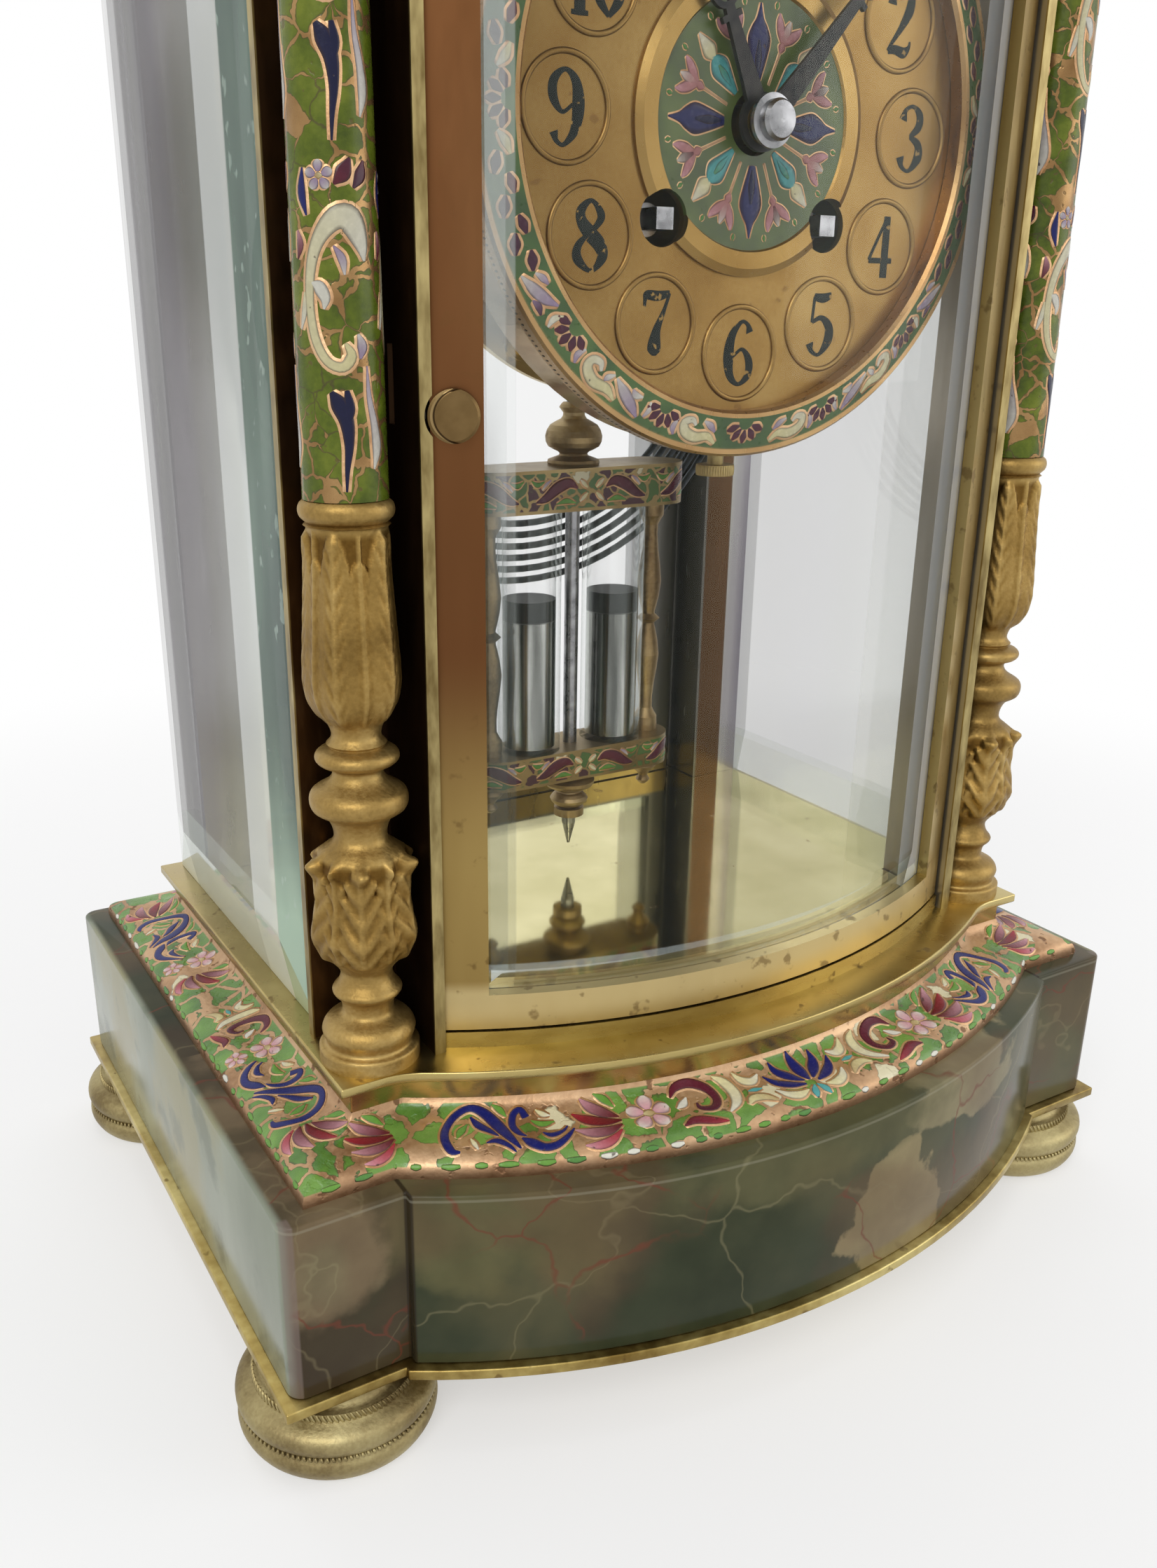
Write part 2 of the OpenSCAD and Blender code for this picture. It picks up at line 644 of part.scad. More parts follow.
// Front door: two curved stiles between two bowed rails with turned pins under and over the hinge stile
module front_door_frame() {
  stile_h = door_top - door_z - 2 * rail_h;
  color("goldenrod") in_case() translate([0, 0, door_z]) {
    for (side = [-1, 1]) difference() {
      translate([0, 0, rail_h]) linear_extrude(stile_h) intersection() {
        bow_bar(door_in_r, door_r, door_hw);
        translate([side * (pane_hw + stile_w / 2) - stile_w / 2, -BIG]) square([stile_w, BIG]);
        if (side > 0) union() {
          translate([pivot_x, pivot_y]) circle(hinge_r);
          translate([-BIG + pivot_x, -BIG]) square([BIG, BIG]);
        }
      }
      translate([0, 0, -1]) linear_extrude(BIG) pane_groove();
      if (side < 0) translate([0, 0, knob_z - door_z]) knob_axis() translate([0, 0, -BIG / 2])
        cylinder(r = knob_shank_r + run_gap, h = BIG);
    }
    for (top = [0, 1]) translate([0, 0, top * (door_top - door_z)]) mirror([0, 0, top]) {
      difference() {
        linear_extrude(rail_h) bow_bar(door_in_r, door_r, door_hw);
        translate([0, 0, rail_h - groove]) linear_extrude(BIG) pane_groove();
      }
      translate([pivot_x, pivot_y, -rise_gap - pin_len]) cylinder(r = pivot_r, h = pin_len + rise_gap + 1);
    }
  }
}

// Bowed pane with a bevel round its outer face
module front_door_pane() {
  seat = groove - 0.3;
  hw = pane_hw + seat;
  z0 = door_z + rail_h - seat;
  h = door_top - rail_h + seat - z0;
  slope = atan((door_pane_t - door_pane_edge) / door_bevel - door_bevel / (2 * glass_r));
  edge_turn = asin(hw / glass_edge_r);
  color("lightcyan", 0.4) in_case() translate([0, 0, z0]) difference() {
    intersection() {
      translate([0, bow_back, 0]) rotate([0, 0, 180]) rotate_extrude(angle = 180, $fn = 180)
        polygon([[glass_in_r, 0], [glass_edge_r, 0], [glass_r, door_bevel], [glass_r, h - door_bevel],
                 [glass_edge_r, h], [glass_in_r, h]]);
      translate([-hw, -BIG, -1]) cube([2 * hw, BIG, h + 2]);
    }
    for (side = [-1, 1]) translate([0, bow_back, 0]) rotate([0, 0, side * edge_turn])
      translate([0, -glass_edge_r, -1]) rotate([0, 0, side * slope])
        translate([-door_bevel * 2, -BIG, 0]) cube([door_bevel * 4, BIG, h + 2]);
  }
}

// Axis of the front door's knob: square to the latch stile, pointing out
knob_set = 0.4;
knob_x = -(pane_hw + stile_w / 2 + knob_set);
knob_turn = asin(knob_x / door_r);
module knob_axis() {
  translate([0, bow_back, 0]) rotate([0, 0, knob_turn]) translate([0, -door_r, 0])
    rotate([90, 0, 0]) children();
}

module rear_knob_axis() {
  translate([pane_hw + stile_w / 2, case_back, knob_z]) rotate([-90, 0, 0]) children();
}

latch_w = 2.6;
latch_t = 1.2;
latch_back = 0.3;
latch_bite = 1.6;
latch_z = -door_t - latch_back - latch_t;
latch_len = (post_in + latch_bite + (door_r + latch_z) * sin(knob_turn)) / cos(knob_turn);
// Flat knob on a shank through the stile, with a latch tongue behind it that stands up at rest
module knob() {
  rotate_extrude() polygon([[0, latch_back], [knob_r * 0.55, latch_back], [knob_r * 0.55, 0.8], [knob_r, 1.1],
                            [knob_r, knob_t - 0.3], [knob_r - 0.4, knob_t], [0, knob_t]]);
  translate([0, 0, latch_z]) cylinder(r = knob_shank_r, h = door_t + latch_t + 2 * latch_back + 0.4);
  translate([-latch_w / 2, -knob_shank_r, latch_z]) cube([latch_w, knob_shank_r + latch_len, latch_t]);
}

// Room for the tongue's quarter turn
module latch_slot() {
  room = 0.4;
  sweep = norm([latch_len, latch_w / 2]) + room;
  translate([-sweep, -latch_w / 2 - room, latch_z - room])
    cube([sweep - knob_shank_r, latch_w / 2 + room + sweep, latch_t + 2 * room]);
}

module front_door_knob() { color("gold") in_case() translate([0, 0, knob_z]) knob_axis() knob(); }

// Rear door: flat frame with half-round outer edges
module rear_door_frame() {
  stile_h = door_top - door_z - 2 * rail_h;
  color("goldenrod") in_case() translate([0, rear_y, door_z]) {
    for (side = [-1, 1]) difference() {
      translate([side * rear_pivot_x, 0, rail_h]) union() {
        cylinder(r = door_t / 2, h = stile_h);
        translate([side > 0 ? -stile_w + door_t / 2 : 0, -door_t / 2, 0])
          cube([stile_w - door_t / 2, door_t, stile_h]);
      }
      rear_groove();
      if (side > 0) translate([pane_hw + stile_w / 2, 0, knob_z - door_z]) rotate([90, 0, 0])
        translate([0, 0, -BIG / 2]) cylinder(r = knob_shank_r + run_gap, h = BIG);
    }
    for (top = [0, 1]) translate([0, 0, top * (door_top - door_z)]) mirror([0, 0, top]) {
      difference() {
        linear_extrude(rail_h) union() {
          square([2 * rear_pivot_x, door_t], center = true);
          for (side = [-1, 1]) translate([side * rear_pivot_x, 0]) circle(door_t / 2);
        }
        rear_groove();
      }
      translate([-rear_pivot_x, 0, -rise_gap - pin_len]) cylinder(r = pivot_r, h = pin_len + rise_gap + 1);
    }
  }
}

module rear_groove() {
  translate([-pane_hw - groove, -door_pane_edge / 2 - glass_fit, rail_h - groove])
    cube([2 * (pane_hw + groove), door_pane_edge + bevel_rise + 2 * glass_fit, BIG]);
}

module rear_door_pane() {
  seat = groove - 0.3;
  w = 2 * (pane_hw + seat);
  h = door_top - door_z - 2 * (rail_h - seat);
  color("lightcyan", 0.4) in_case()
    translate([w / 2, rear_y - door_pane_edge / 2, door_z + rail_h - seat]) rotate([90, 0, 180])
      bevelled_pane(w, h, door_pane_t, door_pane_edge, door_bevel);
}

module rear_door_knob() {
  color("gold") in_case() rear_knob_axis() knob();
}

// Dial plate with twelve raised numeral rings and the holes for hands and key
module dial_plate() {
  bead = 0.45;
  color("goldenrod") in_case() at_front([0, 0], dial_y + dial_t) {
    difference() {
      cylinder(r = drum_r - drum_wall - 0.1, h = dial_t, $fn = 120);
      dial_holes();
    }
    for (k = [1:12]) rotate([0, 0, -30 * k]) translate([0, numeral_r, dial_t])
      rotate_extrude() translate([ring_r - bead, 0]) intersection() {
        circle(bead, $fn = 16);
        translate([-bead, -0.2]) square([2 * bead, bead + 0.2]);
      }
  }
}

centre_hole_r = 4.6;
module dial_holes() {
  translate([0, 0, -1]) cylinder(r = centre_hole_r, h = 10);
  for (side = [-1, 1]) translate([side * wind_x, -wind_drop, -1]) cylinder(r = wind_r, h = 10);
}

// Enamelled disc in a raised gilt ring
module dial_centre() {
  ring_w = 4;
  color("forestgreen") in_case() at_front([0, 0], dial_y) difference() {
    rotate_extrude($fn = 96) polygon([[0, 0], [0, 0.8], [disc_r, 0.8], [disc_r + 0.3, 1.2], [disc_r + ring_w - 1.2, 1.2],
                                      [disc_r + ring_w, 0.5], [disc_r + ring_w, 0]]);
    dial_holes();
  }
}

// Bezel with a sloping enamelled face, gilt lips and a skirt over the drum
module bezel() {
  inner = bezel_r - bezel_w;
  color("peru") in_case() at_front([0, 0], dial_y) rotate_extrude($fn = 120)
    polygon([[inner, 0.1], [inner, 2.6], [inner + 0.5, 3.2], [inner + 1.2, 3.2], [bezel_r - 1.2, 1.6],
             [bezel_r - 0.4, 1.6], [bezel_r, 1.1], [bezel_r, -1.4], [bezel_r - 0.5, -2],
             [drum_r + 0.1, -2], [drum_r + 0.1, 0.1]]);
}

// Drum round the motion work with a flange that the movement is screwed to
module drum() {
  flange_t = 1;
  flange_in = plate_r - 5;
  color("chocolate") in_case() difference() {
    at_front([0, 0], front_y) rotate_extrude($fn = 120)
      polygon([[flange_in, 0], [drum_r, 0], [drum_r, drum_d], [drum_r - drum_wall, drum_d],
               [drum_r - drum_wall, flange_t], [flange_in, flange_t]]);
    translate([0, screw_y, dial_z - drum_r - 1]) cylinder(r = screw_r + 0.02, h = 6);
  }
}

screw_r = 1.4;
screw_y = dial_y + 5;

// Two lugs that hang the drum between the front posts
module movement_brackets() {
  lug_d = 3.5;
  lug_h = 12;
  foot_w = 2;
  foot_y = max(front_y - lug_d - 3, door_back + 1);
  lug_y = max(front_y - lug_d - 1, foot_y);
  color("goldenrod") in_case() for (side = [-1, 1]) difference() {
    union() {
      translate([side > 0 ? drum_r - 2 : -post_in, lug_y, dial_z - lug_h / 2])
        cube([post_in - drum_r + 2, lug_d, lug_h]);
      translate([side > 0 ? post_in - foot_w : -post_in, foot_y, dial_z - lug_h])
        cube([foot_w, front_y + 1 - foot_y, 2 * lug_h]);
    }
    bar([0, 0], front_y - BIG / 4, front_y + BIG / 4, drum_r + 0.02);
  }
}

// Knurled screw through the bottom of the drum
module thumb_screw() {
  head_r = 3.2;
  head_h = 1.8;
  drop = 3.4;
  color("gold") in_case() translate([0, screw_y, dial_z - drum_r - drop - head_h]) {
    cylinder(r = head_r, h = head_h);
    cylinder(r = screw_r, h = head_h + drop + drum_wall + 1);
  }
}

// Pointed hand with a tapering stem, a pierced ring and small crossbar before the tip
module hand(len, hub_r, hole_r) {
  root = 1.9;
  neck = 0.7;
  ring_at = len * 0.74;
  ring_out = 2.6;
  difference() {
    union() {
      circle(hub_r);
      polygon([[-root, 0], [root, 0], [neck, ring_at], [-neck, ring_at]]);
      translate([0, ring_at]) circle(ring_out);
      translate([-root, ring_at - ring_out - 1.6]) square([2 * root, 0.9]);
      polygon([[-1.3, ring_at + ring_out - 0.5], [1.3, ring_at + ring_out - 0.5], [0.15, len], [-0.15, len]]);
    }
    circle(hole_r);
    translate([0, ring_at]) circle(ring_out - 0.9);
  }
}

module hour_hand() {
  color("dimgray") in_case() at_front([0, 0], hour_hand_y) rotate([0, 0, hour_angle]) linear_extrude(hand_t)
    hand(hour_len, cannon_r + run_gap + pipe_wall + 1.1, cannon_r + run_gap + pipe_wall + 0.02);
}

module minute_hand() {
  color("dimgray") in_case() at_front([0, 0], minute_hand_y) rotate([0, 0, minute_angle]) linear_extrude(hand_t)
    hand(minute_len, 3.4, centre_r + 0.02);
}

// Domed nut and its collet in front of the hands
module hand_nut() {
  color("silver") in_case() at_front([0, 0], minute_hand_y - hand_t) difference() {
    rotate_extrude() polygon([[0, 0], [3.9, 0], [3.9, 0.7], [3, 0.9], [3, 2.2], [2.6, 2.8], [0, 3.1]]);
    translate([0, 0, -1]) cylinder(r = centre_r + 0.02, h = 3);
  }
}

// Outline of a wheel: straight-flanked teeth from a formula, in the wheel's own plane
module teeth(n, m) {
  tip = n * m / 2 + 0.85 * m;
  pitch = n * m / 2;
  root = n * m / 2 - 1.2 * m;
  step = 360 / n;
  spread = [[root, -0.3], [pitch, -0.21], [tip, -0.09], [tip, 0.09], [pitch, 0.21], [root, 0.3]];
  polygon([for (k = [0:n - 1], s = spread) s[0] * [cos((k + s[1]) * step), sin((k + s[1]) * step)]]);
}

// Crossed-out wheel with five arms, or a plain pinion when small
module wheel_plan(n, m) {
  rim = n * m / 2 - 1.2 * m - 1.5;
  difference() {
    teeth(n, m);
    if (rim > 6) for (k = [0:4]) difference() {
      rotate([0, 0, 72 * k]) intersection() {
        circle(rim);
        polygon([[0, 0], [2 * rim * cos(36), -2 * rim * sin(36)], [2 * rim, 0], [2 * rim * cos(36), 2 * rim * sin(36)]]);
      }
      circle(3.4);
      for (side = [-36, 36]) rotate([0, 0, 72 * k + side]) translate([0, -0.8]) square([rim + 1, 1.6]);
    }
  }
}

// Wheel at a depth behind the front plate, turned to its mesh
module wheel(at, depth, n, m, turn, t = wheel_t) {
  at_front(at, train_y + depth + t) rotate([0, 0, turn]) linear_extrude(t) wheel_plan(n, m);
}

// Arbor between the plates with a pivot at each end
module arbor(at) {
  bar(at, train_y + shake, back_y - shake, arbor_r);
  bar(at, front_y + shake, rear_face - shake, pivot_pin_r);
}

great_turn = 0;
second_pinion_turn = in_mesh(great_turn, great_n, barrel_at, second_pinion_n, second_at);
centre_pinion_turn = in_mesh(0, second_n, second_at, centre_pinion_n, [0, 0]);
third_pinion_turn = in_mesh(0, centre_n, [0, 0], third_pinion_n, third_at);
escape_pinion_turn = in_mesh(0, third_n, third_at, escape_pinion_n, escape_at);
minute_turn = in_mesh(0, cannon_n, [0, 0], minute_n, minute_at);
hour_turn = in_mesh(0, minute_pinion_n, minute_at, hour_n, [0, 0]);
strike_pinion_turn = in_mesh(great_turn, great_n, strike_barrel_at, second_pinion_n, strike_at);

// Spring barrel with its great wheel
module barrel(at) {
  drum_r = great_n * train_m / 2 - 1.2 * train_m - 0.2;
  difference() {
    union() {
      at_front(at, train_y + great_y + wheel_t) rotate([0, 0, great_turn]) linear_extrude(wheel_t) teeth(great_n, train_m);
      bar(at, train_y + great_y + wheel_t, train_y + great_y + wheel_t + drum_len, drum_r);
      bar(at, train_y + great_y + wheel_t + drum_len - 1, train_y + great_y + wheel_t + drum_len + 0.8, drum_r - 1.5);
    }
    bar(at, train_y - 1, back_y + 1, arbor_wind_r + run_gap);
  }
}

module going_barrel() { color("gold") in_case() barrel(barrel_at); }

module strike_barrel() { color("gold") in_case() barrel(strike_barrel_at); }

// Winding arbor with a key square behind the dial hole
module winding_arbor(at) {
  square_len = 5;
  end = dial_y - 0.8;
  bar(at, end + square_len, back_y - shake, arbor_wind_r);
  bar(at, back_y - shake - 1, rear_face - shake, wind_pivot_r);
  at_front(at, end + square_len + 1) translate([-wind_square / 2, -wind_square / 2, 0])
    cube([wind_square, wind_square, square_len + 1]);
}

module going_arbor() { color("silver") in_case() winding_arbor(barrel_at); }

module strike_arbor() { color("silver") in_case() winding_arbor(strike_barrel_at); }

module second_wheel() {
  color("gold") in_case() {
    arbor(second_at);
    wheel(second_at, great_y - 0.3, second_pinion_n, train_m, second_pinion_turn, wheel_t + 0.6);
    wheel(second_at, second_y, second_n, train_m, 0);
  }
}

lift_ring = strike_n * train_m / 2 - 2.2;
lift_r = 0.5;
lift_len = 1.8;
lift_gap = 0.3;
// Strike wheel with the ring of pins that lift the hammer
module strike_wheel() {
  color("gold") in_case() {
    arbor(strike_at);
    wheel(strike_at, great_y - 0.3, second_pinion_n, train_m, strike_pinion_turn, wheel_t + 0.6);
    wheel(strike_at, second_y, strike_n, train_m, 0);
    for (k = [0:7]) bar(strike_at + lift_ring * [cos(45 * k), sin(45 * k)],
                        train_y + second_y + 0.5, train_y + second_y - lift_len, lift_r);
  }
}

// Minute arbor through the dial, with its wheel, pinion and the cannon that carries the minute hand
module centre_wheel() {
  cannon_y = front_y - 2.4;
  color("gold") in_case() {
    bar([0, 0], minute_hand_y - hand_t - 1.8, back_y - shake, centre_r);
    bar([0, 0], back_y - shake - 1, rear_face - shake, pivot_pin_r);
    bar([0, 0], train_y + shake, train_y + 1, cannon_r);
    wheel([0, 0], second_y - 0.3, centre_pinion_n, train_m, centre_pinion_turn, wheel_t + 0.6);
    wheel([0, 0], centre_y, centre_n, upper_m, 0);
    at_front([0, 0], cannon_y + 1.8) linear_extrude(1.8) teeth(cannon_n, motion_m);
    bar([0, 0], minute_hand_y, cannon_y + 1.8, cannon_r);
  }
}

module third_wheel() {
  color("gold") in_case() {
    arbor(third_at);
    wheel(third_at, centre_y - 0.3, third_pinion_n, upper_m, third_pinion_turn, wheel_t + 0.6);
    wheel(third_at, third_y, third_n, upper_m, 0);
  }
}

escape_r = 8.5;
// Escape wheel with leaning pointed teeth
module escape_wheel() {
  step = 360 / escape_n;
  color("gold") in_case() {
    arbor(escape_at);
    wheel(escape_at, third_y - 0.3, escape_pinion_n, upper_m, escape_pinion_turn, wheel_t + 0.6);
    at_front(escape_at, train_y + escape_y + wheel_t) linear_extrude(wheel_t) difference() {
      polygon([for (k = [0:escape_n - 1], s = [[escape_r - 2, -0.3], [escape_r, 0.1], [escape_r, 0.18], [escape_r - 2, 0.25]])
        s[0] * [cos((k + s[1]) * step), sin((k + s[1]) * step)]]);
      for (k = [0:3]) rotate([0, 0, 45 + 90 * k]) translate([3.9, 0]) circle(1.5);
    }
  }
}

// Anchor over the escape wheel, its arbor, and the crutch whose fork takes the pendulum rod
module anchor() {
  fork_gap = rod_r + 0.35;
  prong = 1.2;
  crutch_y = rear_face + 1.6;
  crutch_t = 1.4;
  pallet = swing_rise - escape_rise - escape_r - 0.5;
  color("silver") in_case() {
    bar(swing_at, train_y + shake, crutch_y + crutch_t, arbor_r);
    bar(swing_at, front_y + shake, pend_y - slot_t / 2 - 1.4, pivot_pin_r);
    at_front(swing_at, train_y + escape_y + wheel_t) linear_extrude(wheel_t) difference() {
      union() {
        circle(2.2);
        translate([0, -swing_rise + escape_rise]) difference() {
          circle(escape_r + 2.2);
          circle(escape_r + 0.5);
          translate([-BIG, -BIG]) square([2 * BIG, BIG + 6.4]);
        }
        translate([-1.2, -pallet + 0.4]) square([2.4, pallet]);
      }
      circle(arbor_r - 0.1);
    }
    at_front(swing_at, crutch_y + crutch_t) linear_extrude(crutch_t) union() {
      circle(2.4);
      translate([-1, fork_z - swing_z]) square([2, swing_z - fork_z]);
      translate([-fork_gap - prong, fork_z - swing_z - 1.5]) square([2 * (fork_gap + prong), 3]);
    }
    for (side = [-1, 1]) translate([side > 0 ? fork_gap : -fork_gap - prong, crutch_y, fork_z - 1.5])
      cube([prong, pend_y + rod_r + 0.6 - crutch_y, 3]);
  }
}

stud_r = 1.2;
module minute_wheel() {
  color("gold") in_case() difference() {
    union() {
      at_front(minute_at, front_y - 0.8) rotate([0, 0, minute_turn]) linear_extrude(1.4) teeth(minute_n, motion_m);
      at_front(minute_at, front_y - 2.1) linear_extrude(3.2) teeth(minute_pinion_n, hour_m);
    }
    bar(minute_at, front_y - 9, front_y, stud_r + run_gap);
  }
}

// Hour wheel with the pipe that carries the hour hand
module hour_wheel() {
  color("gold") in_case() difference() {
    union() {
      at_front([0, 0], front_y - 3.6) rotate([0, 0, hour_turn]) linear_extrude(1.4) teeth(hour_n, hour_m);
      bar([0, 0], front_y - 3.6, hour_hand_y - hand_t - 0.2, cannon_r + run_gap + pipe_wall);
    }
    bar([0, 0], front_y, dial_y - 8, cannon_r + run_gap);
  }
}

// Holes for the pivots that both plates share
module pivot_holes() {
  for (at = [second_at, strike_at, third_at, escape_at]) translate(at) circle(pivot_pin_r + run_gap);
  translate(hammer_at) circle(arbor_r + run_gap);
}

PILLARS = [for (a = [22, 158, 240, 300]) (plate_r - 4) * [cos(a), sin(a)]];

// Front plate with the stud that the minute wheel turns on
module front_plate() {
  color("goldenrod") in_case() {
    at_front([0, 0], train_y) linear_extrude(plate_t) difference() {
      circle(plate_r, $fn = 120);
      pivot_holes();
      translate(swing_at) circle(pivot_pin_r + run_gap);
      circle(centre_r + run_gap);
      for (at = [barrel_at, strike_barrel_at]) translate(at) circle(arbor_wind_r + run_gap);
    }
    bar(minute_at, front_y + 1, front_y - 6, stud_r);
  }
}

module back_plate() {
  color("goldenrod") in_case() at_front([0, 0], rear_face) linear_extrude(plate_t) difference() {
    circle(plate_r, $fn = 120);
    pivot_holes();
    translate(swing_at) circle(arbor_r + 1);
    circle(pivot_pin_r + run_gap);
    for (at = [barrel_at, strike_barrel_at]) translate(at) circle(wind_pivot_r + run_gap);
  }
}

module plate_pillars() {
  color("gold") in_case() for (at = PILLARS) {
    bar(at, train_y, back_y, 2.2);
    bar(at, train_y + train_d * 0.4, train_y + train_d * 0.6, 2.7);
    for (y = [train_y, back_y - 2]) bar(at, y, y + 2, 3);
  }
}

cock_w = 30;
cock_h = 11;
slot_t = 1.6;
chop_t = 1.2;
hang_pin_r = 0.72;
// Bridge on the back plate that holds the anchor's rear pivot and hangs the pendulum
module back_cock() {
  foot_w = 6;
  bridge_y = rear_face + 5.2;
  bridge_t = pend_back - 5.2 + 3.2;
  z0 = swing_z - 6.5;
  color("goldenrod") in_case() {
    difference() {
      union() {
        for (side = [-1, 1]) translate([side * (cock_w - foot_w) / 2 - foot_w / 2, rear_face, z0])
          cube([foot_w, bridge_y - rear_face + 1, 8]);
        translate([-cock_w / 2, bridge_y, z0]) cube([cock_w, bridge_t, cock_h]);
      }
      translate([-3.4, pend_y - slot_t / 2, z0 - 1]) cube([6.8, slot_t, cock_h - 1]);
      bar(swing_at, bridge_y - 1, pend_y - slot_t / 2 - 1, pivot_pin_r + run_gap);
    }
    bar(swing_at, pend_y - slot_t / 2 - 0.5, pend_y + slot_t / 2 + 0.5, hang_pin_r);
  }
}

// Spring strip between an upper chop hung on the pin and the rod's top block
module suspension_spring() {
  chop_w = 5;
  color("steelblue") in_case() difference() {
    union() {
      translate([-chop_w / 2, pend_y - chop_t / 2, swing_z - 2.4]) cube([chop_w, chop_t, 4.2]);
      translate([-chop_w / 2 + 0.4, pend_y - 0.15, spring_z]) cube([chop_w - 0.8, 0.3, swing_z - spring_z - 1]);
    }
    bar(swing_at, pend_y - 3, pend_y + 3, hang_pin_r + run_gap);
  }
}

// Steel rod with a top block on the spring and a threaded tip below the bob
module pendulum_rod() {
  block = [6, 3, 5];
  color("slategray") in_case() difference() {
    union() {
      translate([0, pend_y, tip_z + 5]) cylinder(r = rod_r, h = spring_z - tip_z - 5);
      translate([0, pend_y, tip_z]) cylinder(r1 = 0.3, r2 = rod_r, h = 5);
      translate([-block[0] / 2, pend_y - block[1] / 2, spring_z - 1]) cube(block);
    }
    translate([-2.2, pend_y - 0.17, spring_z]) cube([4.4, 0.34, BIG]);
  }
}

// Bar with round ends, bored for the rod
module bob_bar(half_len, half_deep, h) {
  linear_extrude(h) difference() {
    union() {
      square([2 * (half_len - half_deep), 2 * half_deep], center = true);
      for (side = [-1, 1]) translate([side * (half_len - half_deep), 0]) circle(half_deep);
    }
    circle(rod_r + 0.05);
  }
}

// Enamelled bars that hold the jars between them
module pendulum_plates() {
  color("peru") in_case() {
    translate([0, pend_y, lower_plate_z]) bob_bar(colonnette_x + 4.4, jar_r, bob_plate_h);
    translate([0, pend_y, upper_plate_z]) bob_bar(colonnette_x + 5.8, jar_r + 0.6, bob_top_h);
  }
}

jar_wall = 1.1;
module pendulum_jars() {
  color("lightcyan", 0.4) in_case() for (side = [-1, 1]) translate([side * jar_x, pend_y, jar_z]) difference() {
    cylinder(r = jar_r - 0.05, h = jar_h);
    translate([0, 0, 1]) cylinder(r = jar_r - jar_wall, h = jar_h);
  }
}

module mercury() {
  color("silver") in_case() for (side = [-1, 1])
    translate([side * jar_x, pend_y, jar_z + 1]) cylinder(r = jar_r - jar_wall - 0.02, h = mercury_h);
}

// Colonnettes beside the jars and the turned finials over and under the bars
module pendulum_turnings() {
  color("darkgoldenrod") in_case() {
    for (side = [-1, 1]) {
      translate([side * colonnette_x, pend_y, jar_z])
        turned(smooth([for (p = COLONNETTE) [p[0], p[1] * jar_h]], 2));
      translate([side * colonnette_x, pend_y, lower_plate_z - 6.4]) turned(smooth(END_FINIAL, 2));
    }
    translate([0, pend_y, upper_plate_z + bob_top_h]) bored(12.2) turned(smooth(FINIAL, 2));
    translate([0, pend_y, lower_plate_z - 8.4]) bored(8.4) turned(smooth(LOWER_FINIAL, 2));
  }
}

module bored(h) {
  difference() {
    children();
    translate([0, 0, -1]) cylinder(r = rod_r + 0.05, h = h + 2);
  }
}

// Rating nut on the threaded end of the rod
module rating_nut() {
  h = lower_plate_z - 8.4 - nut_z - 0.1;
  color("gold") in_case() translate([0, pend_y, nut_z]) difference() {
    cylinder(r = 3.3, h = h);
    translate([0, 0, -1]) cylinder(r = rod_r + run_gap, h = h + 2);
  }
}

// Gong: one wire wound in a flat spiral, its inner end held square in a block
gong_start = 30;
loop_steps = 24;
wire_sides = 6;
function gong_point(k) = let (a = gong_start - 360 * k / loop_steps, r = gong_r + gong_pitch * k / loop_steps)
  [r * cos(a), r * sin(a)];
gong_steps = gong_turns * loop_steps;
gong_path = [for (k = [0:gong_steps]) gong_point(k)];
gong_lead = (gong_path[1] - gong_path[0]) / norm(gong_path[1] - gong_path[0]);
gong_tail = (gong_path[gong_steps] - gong_path[gong_steps - 1]) / norm(gong_path[gong_steps] - gong_path[gong_steps - 1]);
gong_wire_path = concat([gong_path[0] - gong_lead * gong_wire], gong_path, [gong_path[gong_steps] + gong_tail * gong_wire]);
gong_gap = min([for (i = [0:gong_steps], j = [i + 1:1:gong_steps])
  if (j - i > loop_steps / 2) norm(gong_path[i] - gong_path[j])]) - gong_wire;
echo(gong_least_gap = gong_gap);

module gong() {
  n = len(gong_wire_path);
  points = [for (i = [0:n - 1]) let (
      ahead = gong_wire_path[min(i + 1, n - 1)] - gong_wire_path[max(i - 1, 0)],
      side = [-ahead[1], ahead[0]] / norm(ahead))
    for (s = [0:wire_sides - 1]) let (c = cos(60 * s) * gong_wire / 2, d = sin(60 * s) * gong_wire / 2)
      [gong_wire_path[i][0] + side[0] * c, gong_y + d, gong_z + gong_wire_path[i][1] + side[1] * c]];
  skin = [for (i = [0:n - 2], s = [0:wire_sides - 1]) let (t = (s + 1) % wire_sides, a = i * wire_sides)
    each [[a + s, a + t, a + wire_sides + s], [a + t, a + wire_sides + t, a + wire_sides + s]]];
  ends = [for (s = [1:wire_sides - 2]) each [[0, s + 1, s],
    [(n - 1) * wire_sides, (n - 1) * wire_sides + s, (n - 1) * wire_sides + s + 1]]];
  color("dimgray") in_case() polyhedron(points, concat(skin, ends));
}

// Block with the groove that the gong's inner end is set in, on a stud from the back plate
module gong_block() {
  size = 6;
  cover = 0.3;
  outwards = [-gong_lead[1], gong_lead[0]];
  at = gong_wire_path[0] - outwards * (size / 2 - cover);
  color("darkgray") in_case() {
    translate([at[0], gong_y, gong_z + at[1]]) rotate([0, -heading(gong_lead), 0]) difference() {
      cube(size, center = true);
      translate([0, 0, size / 2 - cover]) rotate([0, 90, 0]) cylinder(r = gong_wire / 2 + 0.03, h = size);
    }
    bar([at[0], gong_z + at[1] - dial_z], rear_face, gong_y - size / 2 + 1, 2.5);
  }
}

